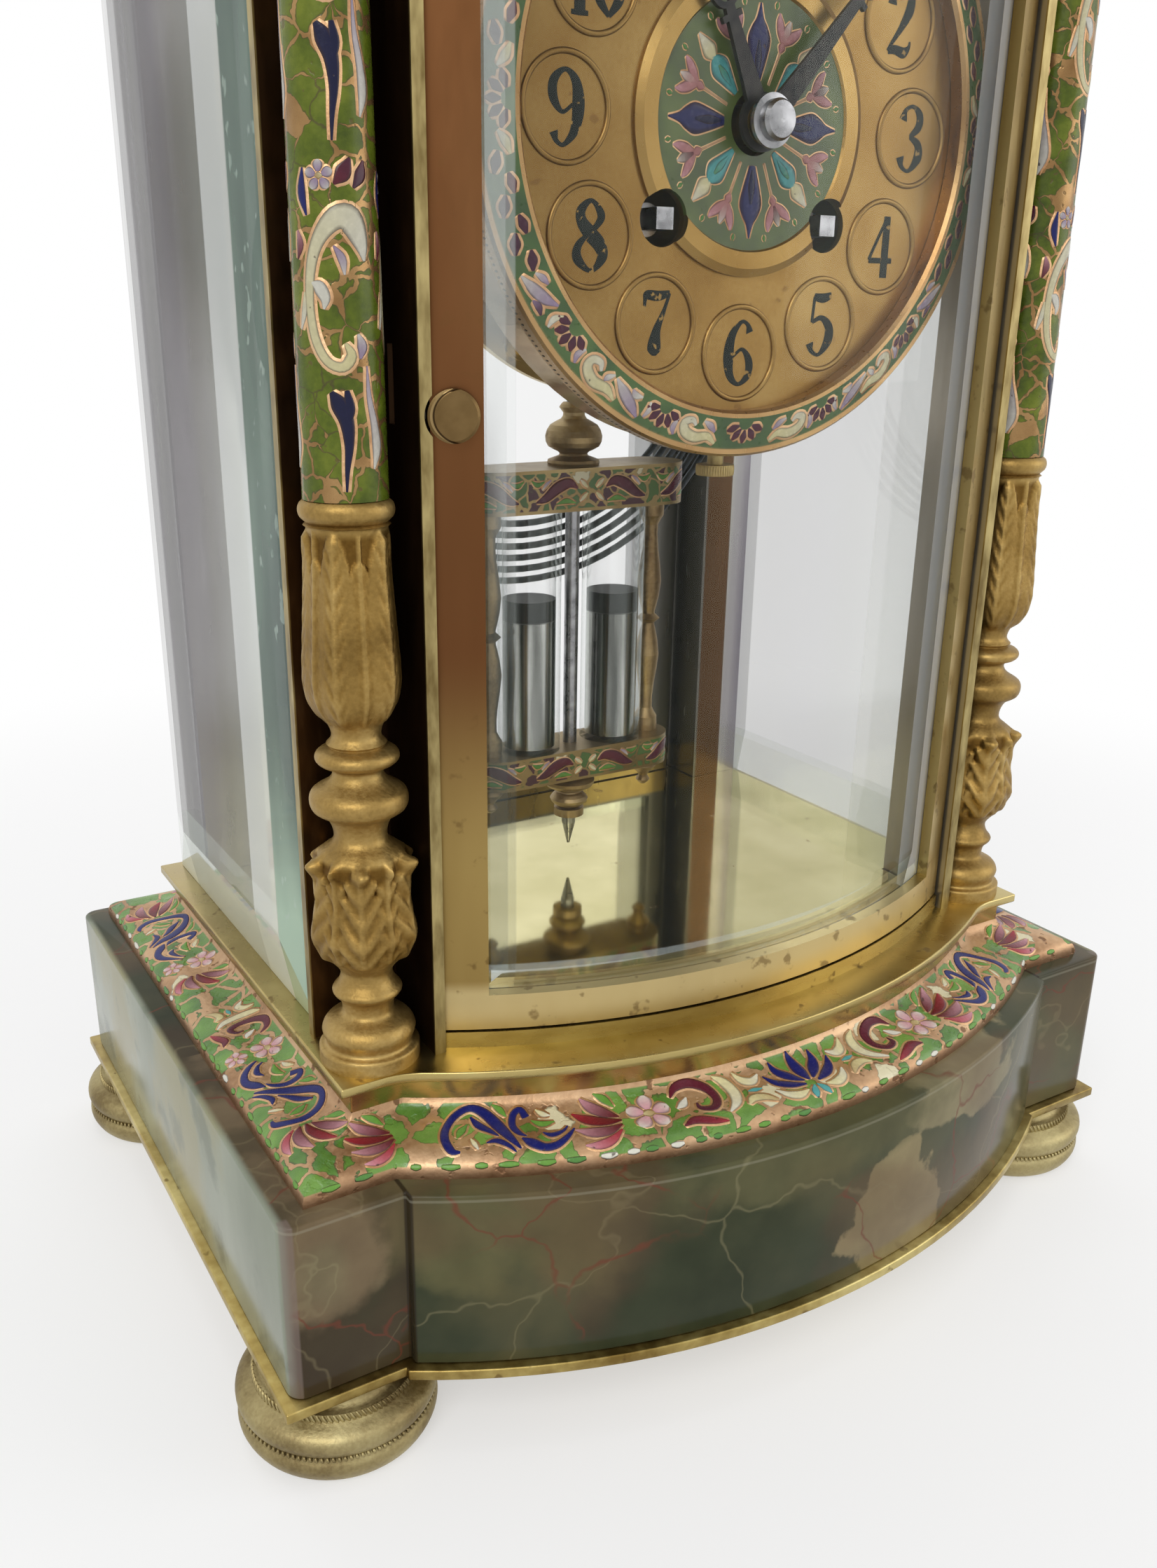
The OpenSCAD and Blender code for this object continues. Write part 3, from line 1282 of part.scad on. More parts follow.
// Strike hammer: arbor through both plates, tail beside the lifting pins, arm, and a head inside the coil
module hammer() {
  strike_dir = 165;
  dir = [cos(strike_dir), sin(strike_dir)];
  reach = gong_r + gong_pitch * (360 + gong_start - strike_dir) / 360 - gong_wire / 2 - 0.8;
  head_len = 8;
  mid = [0, gong_z - dial_z] + dir * (reach - head_len / 2);
  arm_y = gong_y - 6;
  arm_t = 1.6;
  arm = mid - hammer_at;
  tail_len = norm(strike_at - hammer_at) - lift_ring - lift_r - lift_gap;
  color("silver") in_case() {
    bar(hammer_at, front_y + shake, arm_y + arm_t, arbor_r);
    at_front(hammer_at, train_y + second_y - lift_gap) rotate([0, 0, heading(strike_at - hammer_at)])
      linear_extrude(lift_len - lift_gap) translate([0, -0.8]) square([tail_len, 1.6]);
    at_front(hammer_at, arm_y + arm_t) linear_extrude(arm_t) union() {
      circle(2.4);
      rotate([0, 0, heading(arm)]) translate([0, -0.9]) square([norm(arm), 1.8]);
      translate(arm) circle(1.8);
    }
    bar(mid, arm_y, gong_y, 1.4);
    at_front(mid, gong_y) rotate([0, 0, strike_dir]) rotate([0, 90, 0])
      translate([0, 0, -head_len / 2]) cylinder(r = 2.4, h = head_len);
  }
}

feet();
bottom_plate();
onyx_base();
base_moulding();
lower_ledge();
floor_plate();
door_sills();
front_post_left();
front_post_right();
rear_posts();
side_pane_left();
side_pane_right();
column_castings_left();
column_castings_right();
column_shaft_left();
column_shaft_right();
upper_ledge();
top_moulding();
onyx_top();
front_door_frame();
front_door_pane();
front_door_knob();
rear_door_frame();
rear_door_pane();
rear_door_knob();
dial_plate();
dial_centre();
bezel();
drum();
movement_brackets();
thumb_screw();
hour_hand();
minute_hand();
hand_nut();
front_plate();
back_plate();
plate_pillars();
going_barrel();
strike_barrel();
going_arbor();
strike_arbor();
second_wheel();
strike_wheel();
centre_wheel();
third_wheel();
escape_wheel();
anchor();
minute_wheel();
hour_wheel();
back_cock();
suspension_spring();
pendulum_rod();
pendulum_plates();
pendulum_jars();
mercury();
pendulum_turnings();
rating_nut();
gong();
gong_block();
hammer();
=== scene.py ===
"""Crystal regulator clock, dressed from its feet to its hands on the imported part."""

import math
import random

import bmesh
import bpy
import numpy as np
from mathutils import Matrix, Vector


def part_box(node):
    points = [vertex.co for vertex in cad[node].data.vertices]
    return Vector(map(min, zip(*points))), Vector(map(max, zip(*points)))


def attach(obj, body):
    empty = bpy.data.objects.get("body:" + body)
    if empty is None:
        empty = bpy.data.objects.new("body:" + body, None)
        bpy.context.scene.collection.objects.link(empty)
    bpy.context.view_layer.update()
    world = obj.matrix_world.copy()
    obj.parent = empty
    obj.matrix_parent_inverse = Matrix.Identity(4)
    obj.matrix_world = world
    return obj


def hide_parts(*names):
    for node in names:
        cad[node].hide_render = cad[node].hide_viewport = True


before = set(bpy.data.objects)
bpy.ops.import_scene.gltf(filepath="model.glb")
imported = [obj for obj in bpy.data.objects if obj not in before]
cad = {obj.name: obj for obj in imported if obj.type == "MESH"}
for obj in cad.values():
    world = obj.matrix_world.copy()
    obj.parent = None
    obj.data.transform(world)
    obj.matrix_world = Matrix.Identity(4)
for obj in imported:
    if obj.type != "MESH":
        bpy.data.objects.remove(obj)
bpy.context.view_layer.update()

# ---------------------------------------------------------------- studio
# A pale floor in a white room, lit by one large soft lamp from the upper left and weaker ones
# from the right and above. The camera stands in front, to the left and a little above.
scene = bpy.context.scene
scene.view_settings.view_transform = "Standard"

camera = bpy.data.objects.new("camera", bpy.data.cameras.new("camera"))
scene.collection.objects.link(camera)
scene.camera = camera
camera.data.lens, camera.data.sensor_width = 30.57, 36
camera.data.shift_x, camera.data.shift_y = 0.0219, 0.0098
camera.data.clip_start = 0.01
turn, tilt, roll = (math.radians(a) for a in (-30.53, 20.09, 0.39))
back = Vector((math.sin(turn) * math.cos(tilt), -math.cos(turn) * math.cos(tilt), math.sin(tilt)))
right = Vector((math.cos(turn), math.sin(turn), 0))
up = back.cross(right)
axes = (math.cos(roll) * right + math.sin(roll) * up, math.cos(roll) * up - math.sin(roll) * right, back)
CAMERA_AT = (-0.146, -0.2228, 0.183)
camera.matrix_world = Matrix.Translation(CAMERA_AT) @ Matrix(axes).transposed().to_4x4()


def sum_of(operation, swapped=False):
    """A method that adds one Math node to the tree of the value it is called on."""
    def method(self, *others):
        terms = (*others, self) if swapped else (self, *others)
        return self.finish.node("Math", {"operation": operation}, terms)
    return method


class Value:
    """An output of a shader node. Sums on it add Math nodes to the same tree."""

    def __init__(self, finish, socket):
        self.finish, self.socket = finish, socket

    __add__ = __radd__ = sum_of("ADD")
    __mul__ = __rmul__ = sum_of("MULTIPLY")
    __sub__, __rsub__ = sum_of("SUBTRACT"), sum_of("SUBTRACT", True)
    __gt__, __lt__ = sum_of("GREATER_THAN"), sum_of("LESS_THAN")
    __pow__, __abs__ = sum_of("POWER"), sum_of("ABSOLUTE")


class Finish:
    """A node tree written as expressions. A material's tree has its shader at hand."""

    def __init__(self, tree):
        self.tree = tree
        self.shader = next((n for n in tree.nodes if n.type == "BSDF_PRINCIPLED"), None)

    def node(self, kind, settings={}, inputs=(), output=0):
        node = self.tree.nodes.new("ShaderNode" + kind)
        for key, value in settings.items():
            if key == "stops":
                stops = node.color_ramp.elements
                for stop, (place, colour) in ((stops[0], value[0]), (stops[1], value[-1])):
                    stop.position, stop.color = place, (*colour, 1)
                for place, colour in value[1:-1]:
                    stops.new(place).color = (*colour, 1)
            else:
                setattr(node, key, value)
        for key, value in inputs.items() if isinstance(inputs, dict) else enumerate(inputs):
            self.feed(node.inputs[key], value)
        return Value(self, node.outputs[output])

    def feed(self, socket, value):
        if isinstance(value, Value):
            self.tree.links.new(value.socket, socket)
        else:
            socket.default_value = (*value, 1)[:4] if socket.type == "RGBA" else value

    def look(self, inputs):
        for name, value in inputs.items():
            self.feed(self.shader.inputs[name], value)

    def at(self, axis):
        return self.node("SeparateXYZ", {}, [self.node("TexCoord", output="Object")], axis)

    def noise(self, scale, detail, stretch=(1, 1, 1), shift=(0, 0, 0)):
        place = self.node("Mapping", {}, {0: self.node("TexCoord", output="Object"), 1: shift, 3: stretch})
        return self.node("TexNoise", {}, {"Vector": place, "Scale": scale, "Detail": detail})

    def warped(self, scale, amount):
        place = self.node("TexCoord", output="Object")
        sway = self.node("TexNoise", {}, {"Vector": place, "Scale": scale, "Detail": 3}, "Color")
        return self.node("VectorMath", {"operation": "MULTIPLY_ADD"}, [sway, (amount,) * 3, place])

    def cells(self, place, scale, feature="DISTANCE_TO_EDGE", output=0):
        return self.node("TexVoronoi", {"feature": feature}, {"Vector": place, "Scale": scale}, output)

    def mix(self, share, first, second, blend="MIX"):
        return self.node("Mix", {"data_type": "RGBA", "blend_type": blend}, {0: share, 6: first, 7: second}, 2)

    def ramp(self, value, *stops):
        return self.node("ValToRGB", {"stops": stops}, [value])

    def band(self, value, low, high):
        return self.node("MapRange", {"interpolation_type": "SMOOTHSTEP"}, {0: value, 1: low, 2: high})

    def bump(self, height, depth, strength):
        normal = self.node("Bump", {}, {"Strength": strength, "Distance": depth, "Height": height})
        self.feed(self.shader.inputs["Normal"], normal)


def finish(name):
    material = bpy.data.materials.new(name)
    material.use_nodes = True
    made = Finish(material.node_tree)
    made.material = material
    return made


def dress(made, *names):
    for name in names:
        for place in cad[name].material_slots:
            place.material = made.material


def seen(made):
    """One for rays from the eye, straight or by way of a mirror or a pane, and nought for the light's own."""
    rays = [made.node("LightPath", output="Is " + kind + " Ray") for kind in ("Camera", "Glossy", "Transmission")]
    return rays[0] + rays[1] + rays[2] > 0.5


scene.world = bpy.data.worlds.new("studio")
scene.world.use_nodes = True
sky = Finish(scene.world.node_tree)
backdrop = sky.tree.nodes["Background"].inputs
sky.feed(backdrop["Color"], (1, 1, 1))
sky.feed(backdrop["Strength"], 0.5 + 0.5 * seen(sky))

AIM = Vector((0, 0, 0.15))
for name, place, size, power in (("key", (-0.75, -0.75, 0.95), 0.7, 8.5), ("fill", (0.95, -0.7, 0.5), 0.8, 3.2),
                                 ("top", (0.1, 0.25, 1.15), 0.8, 3.6)):
    lamp = bpy.data.objects.new(name, bpy.data.lights.new(name, "AREA"))
    scene.collection.objects.link(lamp)
    lamp.data.size, lamp.data.energy = size, power
    facing = (Vector(place) - AIM).to_track_quat("Z", "Y")
    lamp.matrix_world = Matrix.Translation(place) @ facing.to_matrix().to_4x4()

paper = finish("floor_paper")
paper.look({"Base Color": paper.ramp(paper.noise(3, 2), (0, (0.86, 0.86, 0.86)), (1, (0.9, 0.9, 0.9))),
            "Roughness": 0.7})
lit = paper.node("Emission", {}, {"Color": (1, 1, 1), "Strength": 1.0})
away = paper.at(0) * paper.at(0) + paper.at(1) * paper.at(1)
share = seen(paper) * (0.5 + 0.5 * paper.band(away, 0.03, 0.22))
whole = paper.node("MixShader", {}, [share, Value(paper, paper.shader.outputs[0]), lit])
paper.feed(paper.tree.nodes["Material Output"].inputs["Surface"], whole)
mesh = bpy.data.meshes.new("floor")
made = bmesh.new()
bmesh.ops.create_grid(made, x_segments=8, y_segments=8, size=3)
made.to_mesh(mesh)
made.free()
mesh.materials.append(paper.material)
floor = bpy.data.objects.new("floor", mesh)
scene.collection.objects.link(floor)

# ---------------------------------------------------------------- feet
# Four bun feet of cast brass, turned in the lathe and gilt. A milled ring runs round the neck and a
# finer beaded one sits in the groove between the two rolls. Each is screwed up into the bottom plate.
MM = 0.001
CASE_Y = 9.0


class Work:
    """Gathers the sheets of one piece, in millimetres of the case's own frame, and makes it an object."""

    def __init__(self, tone=1.0):
        self.points, self.faces, self.finishes, self.tints, self.count, self.tone = [], [], [], [], 0, tone

    def sheet(self, grid, finish, probe, tint=(1, 1, 1), closed=False):
        """Adds a grid of points. The probe is a row, a column and the way out at that point."""
        rows, columns = grid.shape[:2]
        index = self.count + np.arange(rows * columns).reshape(rows, columns)
        if closed:
            index = np.hstack([index, index[:, :1]])
        quads = np.stack([index[:-1, :-1], index[1:, :-1], index[1:, 1:], index[:-1, 1:]], -1)
        i, j, out = probe
        a, b, d = grid[i, j], grid[i + 1, j], grid[i, j + 1]
        if np.dot(np.cross(b - a, d - a), out) < 0:
            quads = quads[..., ::-1]
        quads = quads.reshape(-1, 4)
        self.points.append(grid.reshape(-1, 3))
        self.tints.append(np.broadcast_to(np.asarray(tint, float), (rows, columns, 3)).reshape(-1, 3))
        self.faces.append(quads)
        self.finishes.append(np.full(len(quads), finish))
        self.count += rows * columns

    def object(self, name, finishes, body, slot, *replaced, crease):
        mesh = bpy.data.meshes.new(name)
        points = (np.concatenate(self.points) + (0, CASE_Y, 0)) * MM
        mesh.from_pydata(points.tolist(), [], np.concatenate(self.faces).tolist())
        mesh.polygons.foreach_set("material_index", np.concatenate(self.finishes).astype(np.int32))
        tint = mesh.attributes.new("tint", "FLOAT_COLOR", "POINT")
        colours = np.ones((len(points), 4), np.float32)
        colours[:, :3] = np.concatenate(self.tints)
        tint.data.foreach_set("color", colours.ravel())
        made = bmesh.new()
        made.from_mesh(mesh)
        bmesh.ops.remove_doubles(made, verts=made.verts, dist=1e-6)
        bmesh.ops.dissolve_degenerate(made, edges=made.edges, dist=1e-7)
        made.to_mesh(mesh)
        made.free()
        stand(name, mesh, finishes, body, slot, *replaced, crease=crease)


def stand(name, mesh, finishes, body, slot, *replaced, crease=38):
    """Makes a mesh that is already in place a piece that rides on a body."""
    for k, made in enumerate(finishes):
        if k < len(mesh.materials):
            mesh.materials[k] = made.material
        else:
            mesh.materials.append(made.material)
    mesh.polygons.foreach_set("use_smooth", np.ones(len(mesh.polygons), bool))
    mesh.set_sharp_from_angle(angle=math.radians(crease))
    piece = bpy.data.objects.new(name, mesh)
    scene.collection.objects.link(piece)
    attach(piece, body)
    if replaced:
        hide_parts(*replaced)


def outline(node, centre, low, high, reach):
    """Radius and height of a turned CAD node round an upright axis, from the foot up."""
    co = np.empty(len(cad[node].data.vertices) * 3)
    cad[node].data.vertices.foreach_get("co", co)
    co = co.reshape(-1, 3) / MM - (centre[0], centre[1] + CASE_Y, 0)
    radius = np.hypot(co[:, 0], co[:, 1])
    keep = (radius < reach) & (co[:, 2] > low - 0.01) & (co[:, 2] < high + 0.01)
    rings = sorted({(round(z, 2), round(r, 2)) for r, z in zip(radius[keep], co[keep, 2]) if r > 1})
    profile, last = [], rings[0][1]
    for level in sorted({z for z, r in rings}):
        radii = sorted((r for z, r in rings if z == level), key=lambda r: abs(r - last))
        for r in (radii[0], radii[-1])[:len(radii)]:
            profile.append((r, level))
        last = profile[-1][0]
    return profile


def turned(work, profile, centre, steps, rows, relief=None):
    """Sweeps a profile round an upright axis; relief moves the skin in or out and shades its hollows."""
    profile = np.array([(0, profile[0][1]), *profile, (0, profile[-1][1])], float)
    along = np.concatenate([[0], np.cumsum(np.hypot(*np.diff(profile, axis=0).T))])
    even = np.linspace(0, along[-1], rows)
    profile = np.stack([np.interp(even, along, profile[:, k]) for k in (0, 1)], 1)
    angle = np.linspace(0, 2 * math.pi, steps, endpoint=False)
    radius, height = (np.repeat(profile[:, k:k + 1], steps, 1) for k in (0, 1))
    tint = np.ones((*radius.shape, 3))
    if relief:
        lift, shade = relief(np.broadcast_to(angle, radius.shape), height, radius)
        radius = np.maximum(radius + lift * (radius > 2), 0)
        # The relief's painted shade in its hollows and painted highlight on its ribs go into the tint.
        tint = tint * shade[..., None] ** np.array((0.8, 1.0, 1.5))
    grid = np.stack([centre[0] + radius * np.cos(angle), centre[1] + radius * np.sin(angle), height], -1)
    steep = int(np.argmax(np.diff(profile[:, 1]) * (profile[:-1, 0] > 2)))
    work.sheet(grid, 0, (steep, 0, (1, 0, 0)), tint, closed=True)


def grown(name, inputs, build, made):
    """Runs a Geometry Nodes tree and gives back its mesh; build adds the nodes that shape it."""
    tree = bpy.data.node_groups.new(name, "GeometryNodeTree")
    for label, (kind, _) in inputs.items():
        tree.interface.new_socket(label, in_out="INPUT", socket_type="NodeSocket" + kind)
    tree.interface.new_socket("Mesh", in_out="OUTPUT", socket_type="NodeSocketGeometry")
    add = tree.nodes.new

    def link(*pairs):
        for source, output, target, entry in pairs:
            tree.links.new(source.outputs[output], target.inputs[entry])

    real, coat = add("GeometryNodeRealizeInstances"), add("GeometryNodeSetMaterial")
    coat.inputs["Material"].default_value = made.material
    shape = build(add, link, add("NodeGroupInput"))
    link((shape, 0, real, 0), (real, 0, coat, "Geometry"), (coat, 0, add("NodeGroupOutput"), 0))
    holder = bpy.data.objects.new(name, bpy.data.meshes.new(name))
    scene.collection.objects.link(holder)
    modifier = holder.modifiers.new("rule", "NODES")
    modifier.node_group = tree
    for item in tree.interface.items_tree:
        if item.in_out == "INPUT":
            modifier[item.identifier] = inputs[item.name][1]
    mesh = bpy.data.meshes.new_from_object(holder.evaluated_get(bpy.context.evaluated_depsgraph_get()))
    holder.modifiers.remove(modifier)
    bpy.data.objects.remove(holder)
    return mesh


def bead_ring(name, count, radius, size, lean, made):
    """A ring of leaning beads round the Z axis, as a plain mesh in metres."""

    def build(add, link, given):
        circle, bead = add("GeometryNodeMeshCircle"), add("GeometryNodeMeshUVSphere")
        bead.inputs["Segments"].default_value, bead.inputs["Rings"].default_value = 8, 5
        index, share, whole = add("GeometryNodeInputIndex"), add("ShaderNodeMath"), add("ShaderNodeMath")
        share.operation, whole.operation = "DIVIDE", "MULTIPLY"
        whole.inputs[1].default_value = 2 * math.pi
        euler, turn_to = add("ShaderNodeCombineXYZ"), add("FunctionNodeEulerToRotation")
        spread = add("GeometryNodeInstanceOnPoints")
        link((given, "Count", circle, "Vertices"), (given, "Radius", circle, "Radius"), (index, 0, share, 0),
             (given, "Count", share, 1), (share, 0, whole, 0), (given, "Lean", euler, "X"), (whole, 0, euler, "Z"),
             (euler, 0, turn_to, 0), (circle, "Mesh", spread, "Points"), (bead, "Mesh", spread, "Instance"),
             (turn_to, 0, spread, "Rotation"), (given, "Bead", spread, "Scale"))
        return spread

    return grown(name, {"Count": ("Int", count), "Radius": ("Float", radius * MM),
                        "Bead": ("Vector", [v * MM for v in size]), "Lean": ("Float", lean)}, build, made)


def joined(*meshes):
    made = bmesh.new()
    for mesh in meshes:
        made.from_mesh(mesh)
    whole = bpy.data.meshes.new("joined")
    made.to_mesh(whole)
    made.free()
    return whole


def moved(mesh, place, turn=Matrix()):
    """A copy of a mesh, turned and then put at a point given in millimetres of the case's frame."""
    copy = mesh.copy()
    copy.transform(Matrix.Translation(Vector((place[0], place[1] + CASE_Y, place[2])) * MM) @ turn)
    return copy


def gilding(name, dark, mid, light, shaded):
    made = finish(name)
    cloud, grain = made.noise(70, 4), made.noise(1500, 2)
    colour = made.ramp(cloud + 0.25 * (grain - 0.5), (0.3, dark), (0.5, mid), (0.72, light))
    if shaded:
        colour = made.mix(1.0, colour, made.node("Attribute", {"attribute_name": "tint"}), "MULTIPLY")
    worn = made.band(made.noise(240, 4), 0.62, 0.72)
    made.look({"Base Color": made.mix(0.55 * worn, colour, dark), "Metallic": 0.9,
               "Roughness": 0.38 + 0.2 * grain + 0.12 * worn})
    made.bump(grain + 2 * cloud, 0.00014, 0.5)
    return made


ormolu = gilding("ormolu_cast", (0.2, 0.123, 0.034), (0.335, 0.217, 0.066), (0.47, 0.332, 0.125), True)
foot_gilt = gilding("ormolu_foot", (0.19, 0.14, 0.06), (0.34, 0.275, 0.13), (0.5, 0.43, 0.22), False)
FOOT_TOP, FOOT_REACH = 15.1, 18
FEET = [(x, y) for x in (-82.9, 82.9) for y in (-54.9, 54.9)]
work = Work()
for foot in FEET:
    turned(work, outline("feet", foot, 0, FOOT_TOP, FOOT_REACH), foot, 72, 70)
work.object("turned_feet", [foot_gilt], "case", "gilt", "feet", crease=50)
neck = bead_ring("neck_milling", 96, 14.3, (0.42, 0.3, 1.1), 0.5, foot_gilt)
groove = bead_ring("groove_beads", 110, 16.8, (0.5, 0.36, 0.55), 0.3, foot_gilt)
rings = joined(*(moved(ring, (*foot, z)) for foot in FEET for ring, z in ((neck, 12.2), (groove, 6.1))))
stand("foot_milling", rings, [foot_gilt], "case", "gilt")

# ---------------------------------------------------------------- bottom plate
# A sheet of brass, sawn to the plan of the block and screwed under it. Its edge is worn bright and
# its upper arris holds a dark line of old polish; here its arrises are only eased, and no such line is drawn.


def brassing(name, dark, mid, light, rough, streak=(1, 1, 1)):
    made = finish(name)
    cloud, fine = made.noise(38, 4, streak), made.noise(420, 3, streak)
    spots = made.band(made.noise(300, 2), 0.66, 0.74)
    colour = made.ramp(cloud + 0.3 * (fine - 0.5), (0.32, dark), (0.5, mid), (0.7, light))
    made.look({"Base Color": made.mix(0.6 * spots, colour, (0.1, 0.05, 0.015)), "Metallic": 1.0,
               "Roughness": rough + 0.2 * fine + 0.15 * spots})
    made.bump(fine + made.noise(2600, 1, streak), 0.00004, 0.3)
    return made


edge_brass = brassing("plate_edge_brass", (0.2, 0.13, 0.035), (0.4, 0.3, 0.1), (0.62, 0.52, 0.22), 0.28)

# ---------------------------------------------------------------- onyx
# Base block and top slab, sawn from dark green onyx with cream clouds and rusty veins and polished.
# The bowed middle of each front is a separate block between two ears, glued at a dark seam.
onyx = finish("green_onyx")
drift, fine = onyx.noise(14, 6), onyx.noise(130, 6)
body = onyx.ramp(drift + 0.2 * (fine - 0.5), (0.32, (0.022, 0.028, 0.014)), (0.46, (0.037, 0.045, 0.023)),
                 (0.56, (0.046, 0.054, 0.03)), (0.66, (0.076, 0.078, 0.042)))
haze = onyx.noise(19, 8, shift=(0.31, 0.07, 0.55))
body = onyx.mix(0.32 * onyx.band(haze, 0.5, 0.64), body, (0.13, 0.115, 0.058))
body = onyx.mix(0.28 * onyx.band(onyx.noise(23, 6, shift=(0.7, 0.2, 0.1)), 0.54, 0.66), body, (0.1, 0.088, 0.05))
CLOUDS = (  # middle, reach, softness and shade of each pale patch on the front, in metres
    (0.017, 0.026, 0.013, 0.014, 0.1, (0.28, 0.225, 0.115)),
    (0.04, 0.047, 0.02, 0.008, 0.16, (0.27, 0.23, 0.125)),
    (-0.058, 0.043, 0.018, 0.013, 0.6, (0.11, 0.104, 0.046)),
    (-0.012, 0.048, 0.03, 0.007, 0.7, (0.1, 0.096, 0.045)),
    (-0.088, 0.04, 0.009, 0.012, 0.5, (0.2, 0.16, 0.09)),
)
for x, z, wide, tall, soft, shade in CLOUDS:
    u, v = (onyx.at(0) - x) * (1 / wide), (onyx.at(2) - z) * (1 / tall)
    reach = u * u + v * v + 5.5 * (onyx.noise(55, 10) - 0.5) + 10 * (onyx.at(1) > 0.0)
    tones = (tuple(share * c for c in shade) for share in (0.6, 1.3))
    body = onyx.mix(0.85 * onyx.band(reach, 1.0 + soft, 1.0 - soft), body, onyx.mix(fine, *tones))
gap = onyx.cells(onyx.warped(60, 0.022), 21)
body = onyx.mix(0.3 * onyx.band(gap, 0.02 * onyx.noise(60, 2), 0.0), body, (0.27, 0.24, 0.13))
body = onyx.mix(0.35 * onyx.band(gap, 0.2, 0.0) * onyx.band(drift, 0.4, 0.55), body, (0.15, 0.12, 0.055))
SEAM_X, EDGE_Z = 0.074, 0.0496
side = abs(onyx.at(0))
crack = onyx.band(onyx.cells(onyx.warped(90, 0.012), 34), 0.03 * onyx.noise(70, 2), 0.0)
where = onyx.band(onyx.noise(26, 2, shift=(0.4, 0.4, 0.4)) + 0.16 * (side > SEAM_X), 0.49, 0.56)
body = onyx.mix(0.7 * crack * where, body, (0.15, 0.04, 0.022))
body = onyx.mix(0.25 * where * onyx.band(gap, 0.3, 0.1), body, (0.12, 0.045, 0.03))
# Painted light: the ends of the block keep their own streaks but are painted much paler than the front, as lit.
pale = onyx.mix(onyx.noise(34, 5, (1, 1, 0.5)), (0.12, 0.14, 0.1), (0.44, 0.47, 0.37))
pale = onyx.mix(onyx.band(onyx.noise(30, 6, (1, 1, 0.6)), 0.48, 0.62), pale, (0.3, 0.285, 0.17))
pale = onyx.mix(0.6 * onyx.band(onyx.noise(75, 5), 0.55, 0.68), pale, (0.13, 0.15, 0.11))
body = onyx.mix(onyx.band(side, 0.0934, 0.0948), body, pale)
seam = onyx.band(abs(side - SEAM_X), 0.00055, 0.0002) * onyx.band(onyx.at(1), -0.0505, -0.0545)
body = onyx.mix(0.85 * seam, body, (0.02, 0.014, 0.008))
# Painted highlight along the front corners of the block and slab.
corner = onyx.band(side, 0.0928, 0.0932) * onyx.band(onyx.at(1), -0.0545, -0.0555) * onyx.band(side, 0.0949, 0.0946)
body = onyx.mix(0.6 * corner, body, (0.19, 0.145, 0.125))
# Painted highlight along the top front arris.
arris = onyx.band(abs(onyx.at(2) - EDGE_Z), 0.0004, 0.0001) * onyx.band(onyx.at(1), -0.053, -0.056)
body = onyx.mix(0.2 * arris, body, (0.42, 0.4, 0.3))
onyx.look({"Base Color": body, "Roughness": 0.1 + 0.14 * fine, "Specular IOR Level": 0.1})
onyx.bump(fine, 0.00006, 0.2)


def eased(node, name, made, slot, width):
    """A copy of a CAD node with its arrises softly rounded, standing for the node."""
    mesh = cad[node].data.copy()
    shape = bmesh.new()
    shape.from_mesh(mesh)
    bmesh.ops.remove_doubles(shape, verts=shape.verts, dist=2e-6)
    bmesh.ops.dissolve_limit(shape, angle_limit=0.02, verts=shape.verts, edges=shape.edges)
    sharp = [e for e in shape.edges if len(e.link_faces) == 2 and e.calc_face_angle(0) > 0.6]
    bmesh.ops.bevel(shape, geom=sharp, offset=width * MM, segments=3, profile=0.5, affect="EDGES",
                    clamp_overlap=True)
    shape.to_mesh(mesh)
    shape.free()
    stand(name, mesh, [made], "case", slot, node)


eased("bottom_plate", "bottom_plate_eased", edge_brass, "brass", 0.3)
eased("onyx_base", "onyx_base_block", onyx, "onyx", 0.45)
eased("onyx_top", "onyx_top_slab", onyx, "onyx", 0.8)

# ---------------------------------------------------------------- mouldings
# Cast brass mouldings with champleve enamel: cells are sunk in the gilt ground and filled with coloured
# glass. Six lengths, mitred at the corners, run round the base and, turned over, round the top.
BOW_BACK, MOULD_R, MOULD_HW, MOULD_HD = 56.0, 140.2, 89.9, 63.1
RUN, FRONT_RUN, RISE = 13.2, 11.4, 6.9
ARC, FACE = 15.1, 1.9
CASE_MID = 0.1688  # half way up the case, in metres
COLOURS = {
    "green": (0.15, 0.34, 0.055), "leaf": (0.1, 0.26, 0.06), "cobalt": (0.011, 0.016, 0.15),
    "burgundy": (0.12, 0.006, 0.014), "red": (0.4, 0.03, 0.045), "pink": (0.7, 0.36, 0.42),
    "white": (0.78, 0.75, 0.66), "cream": (0.78, 0.7, 0.38), "turquoise": (0.1, 0.4, 0.4), "tan": (0.5, 0.34, 0.16),
    "purple": (0.075, 0.018, 0.045), "lilac": (0.36, 0.26, 0.4), "copper": (0.6, 0.36, 0.2),
    "rose": (0.46, 0.19, 0.18), "indigo": (0.016, 0.018, 0.11), "maroon": (0.13, 0.015, 0.03),
    "navy": (0.005, 0.006, 0.045), "dark": (0.06, 0.03, 0.02),
}


def swell(u):
    hollow = 0.58 + 0.42 * (1 - np.sqrt(np.clip(1 - ((u - 0.45) / 0.55) ** 2, 0, 1)))
    round_ = 0.16 + 0.42 * np.sqrt(np.clip(1 - (1 - u / 0.45) ** 2, 0, 1))
    return np.where(u < 0.45, round_, hollow)


STEPS = np.linspace(0, 1, 401)
LENGTHS = np.concatenate([[0], np.cumsum(np.hypot(np.diff(RUN * STEPS), np.diff(RISE * swell(STEPS))))])


def across(a):
    """Share of the run at a distance from the foot along the moulding's face."""
    return np.interp(np.asarray(a) / ARC * LENGTHS[-1], LENGTHS, STEPS)


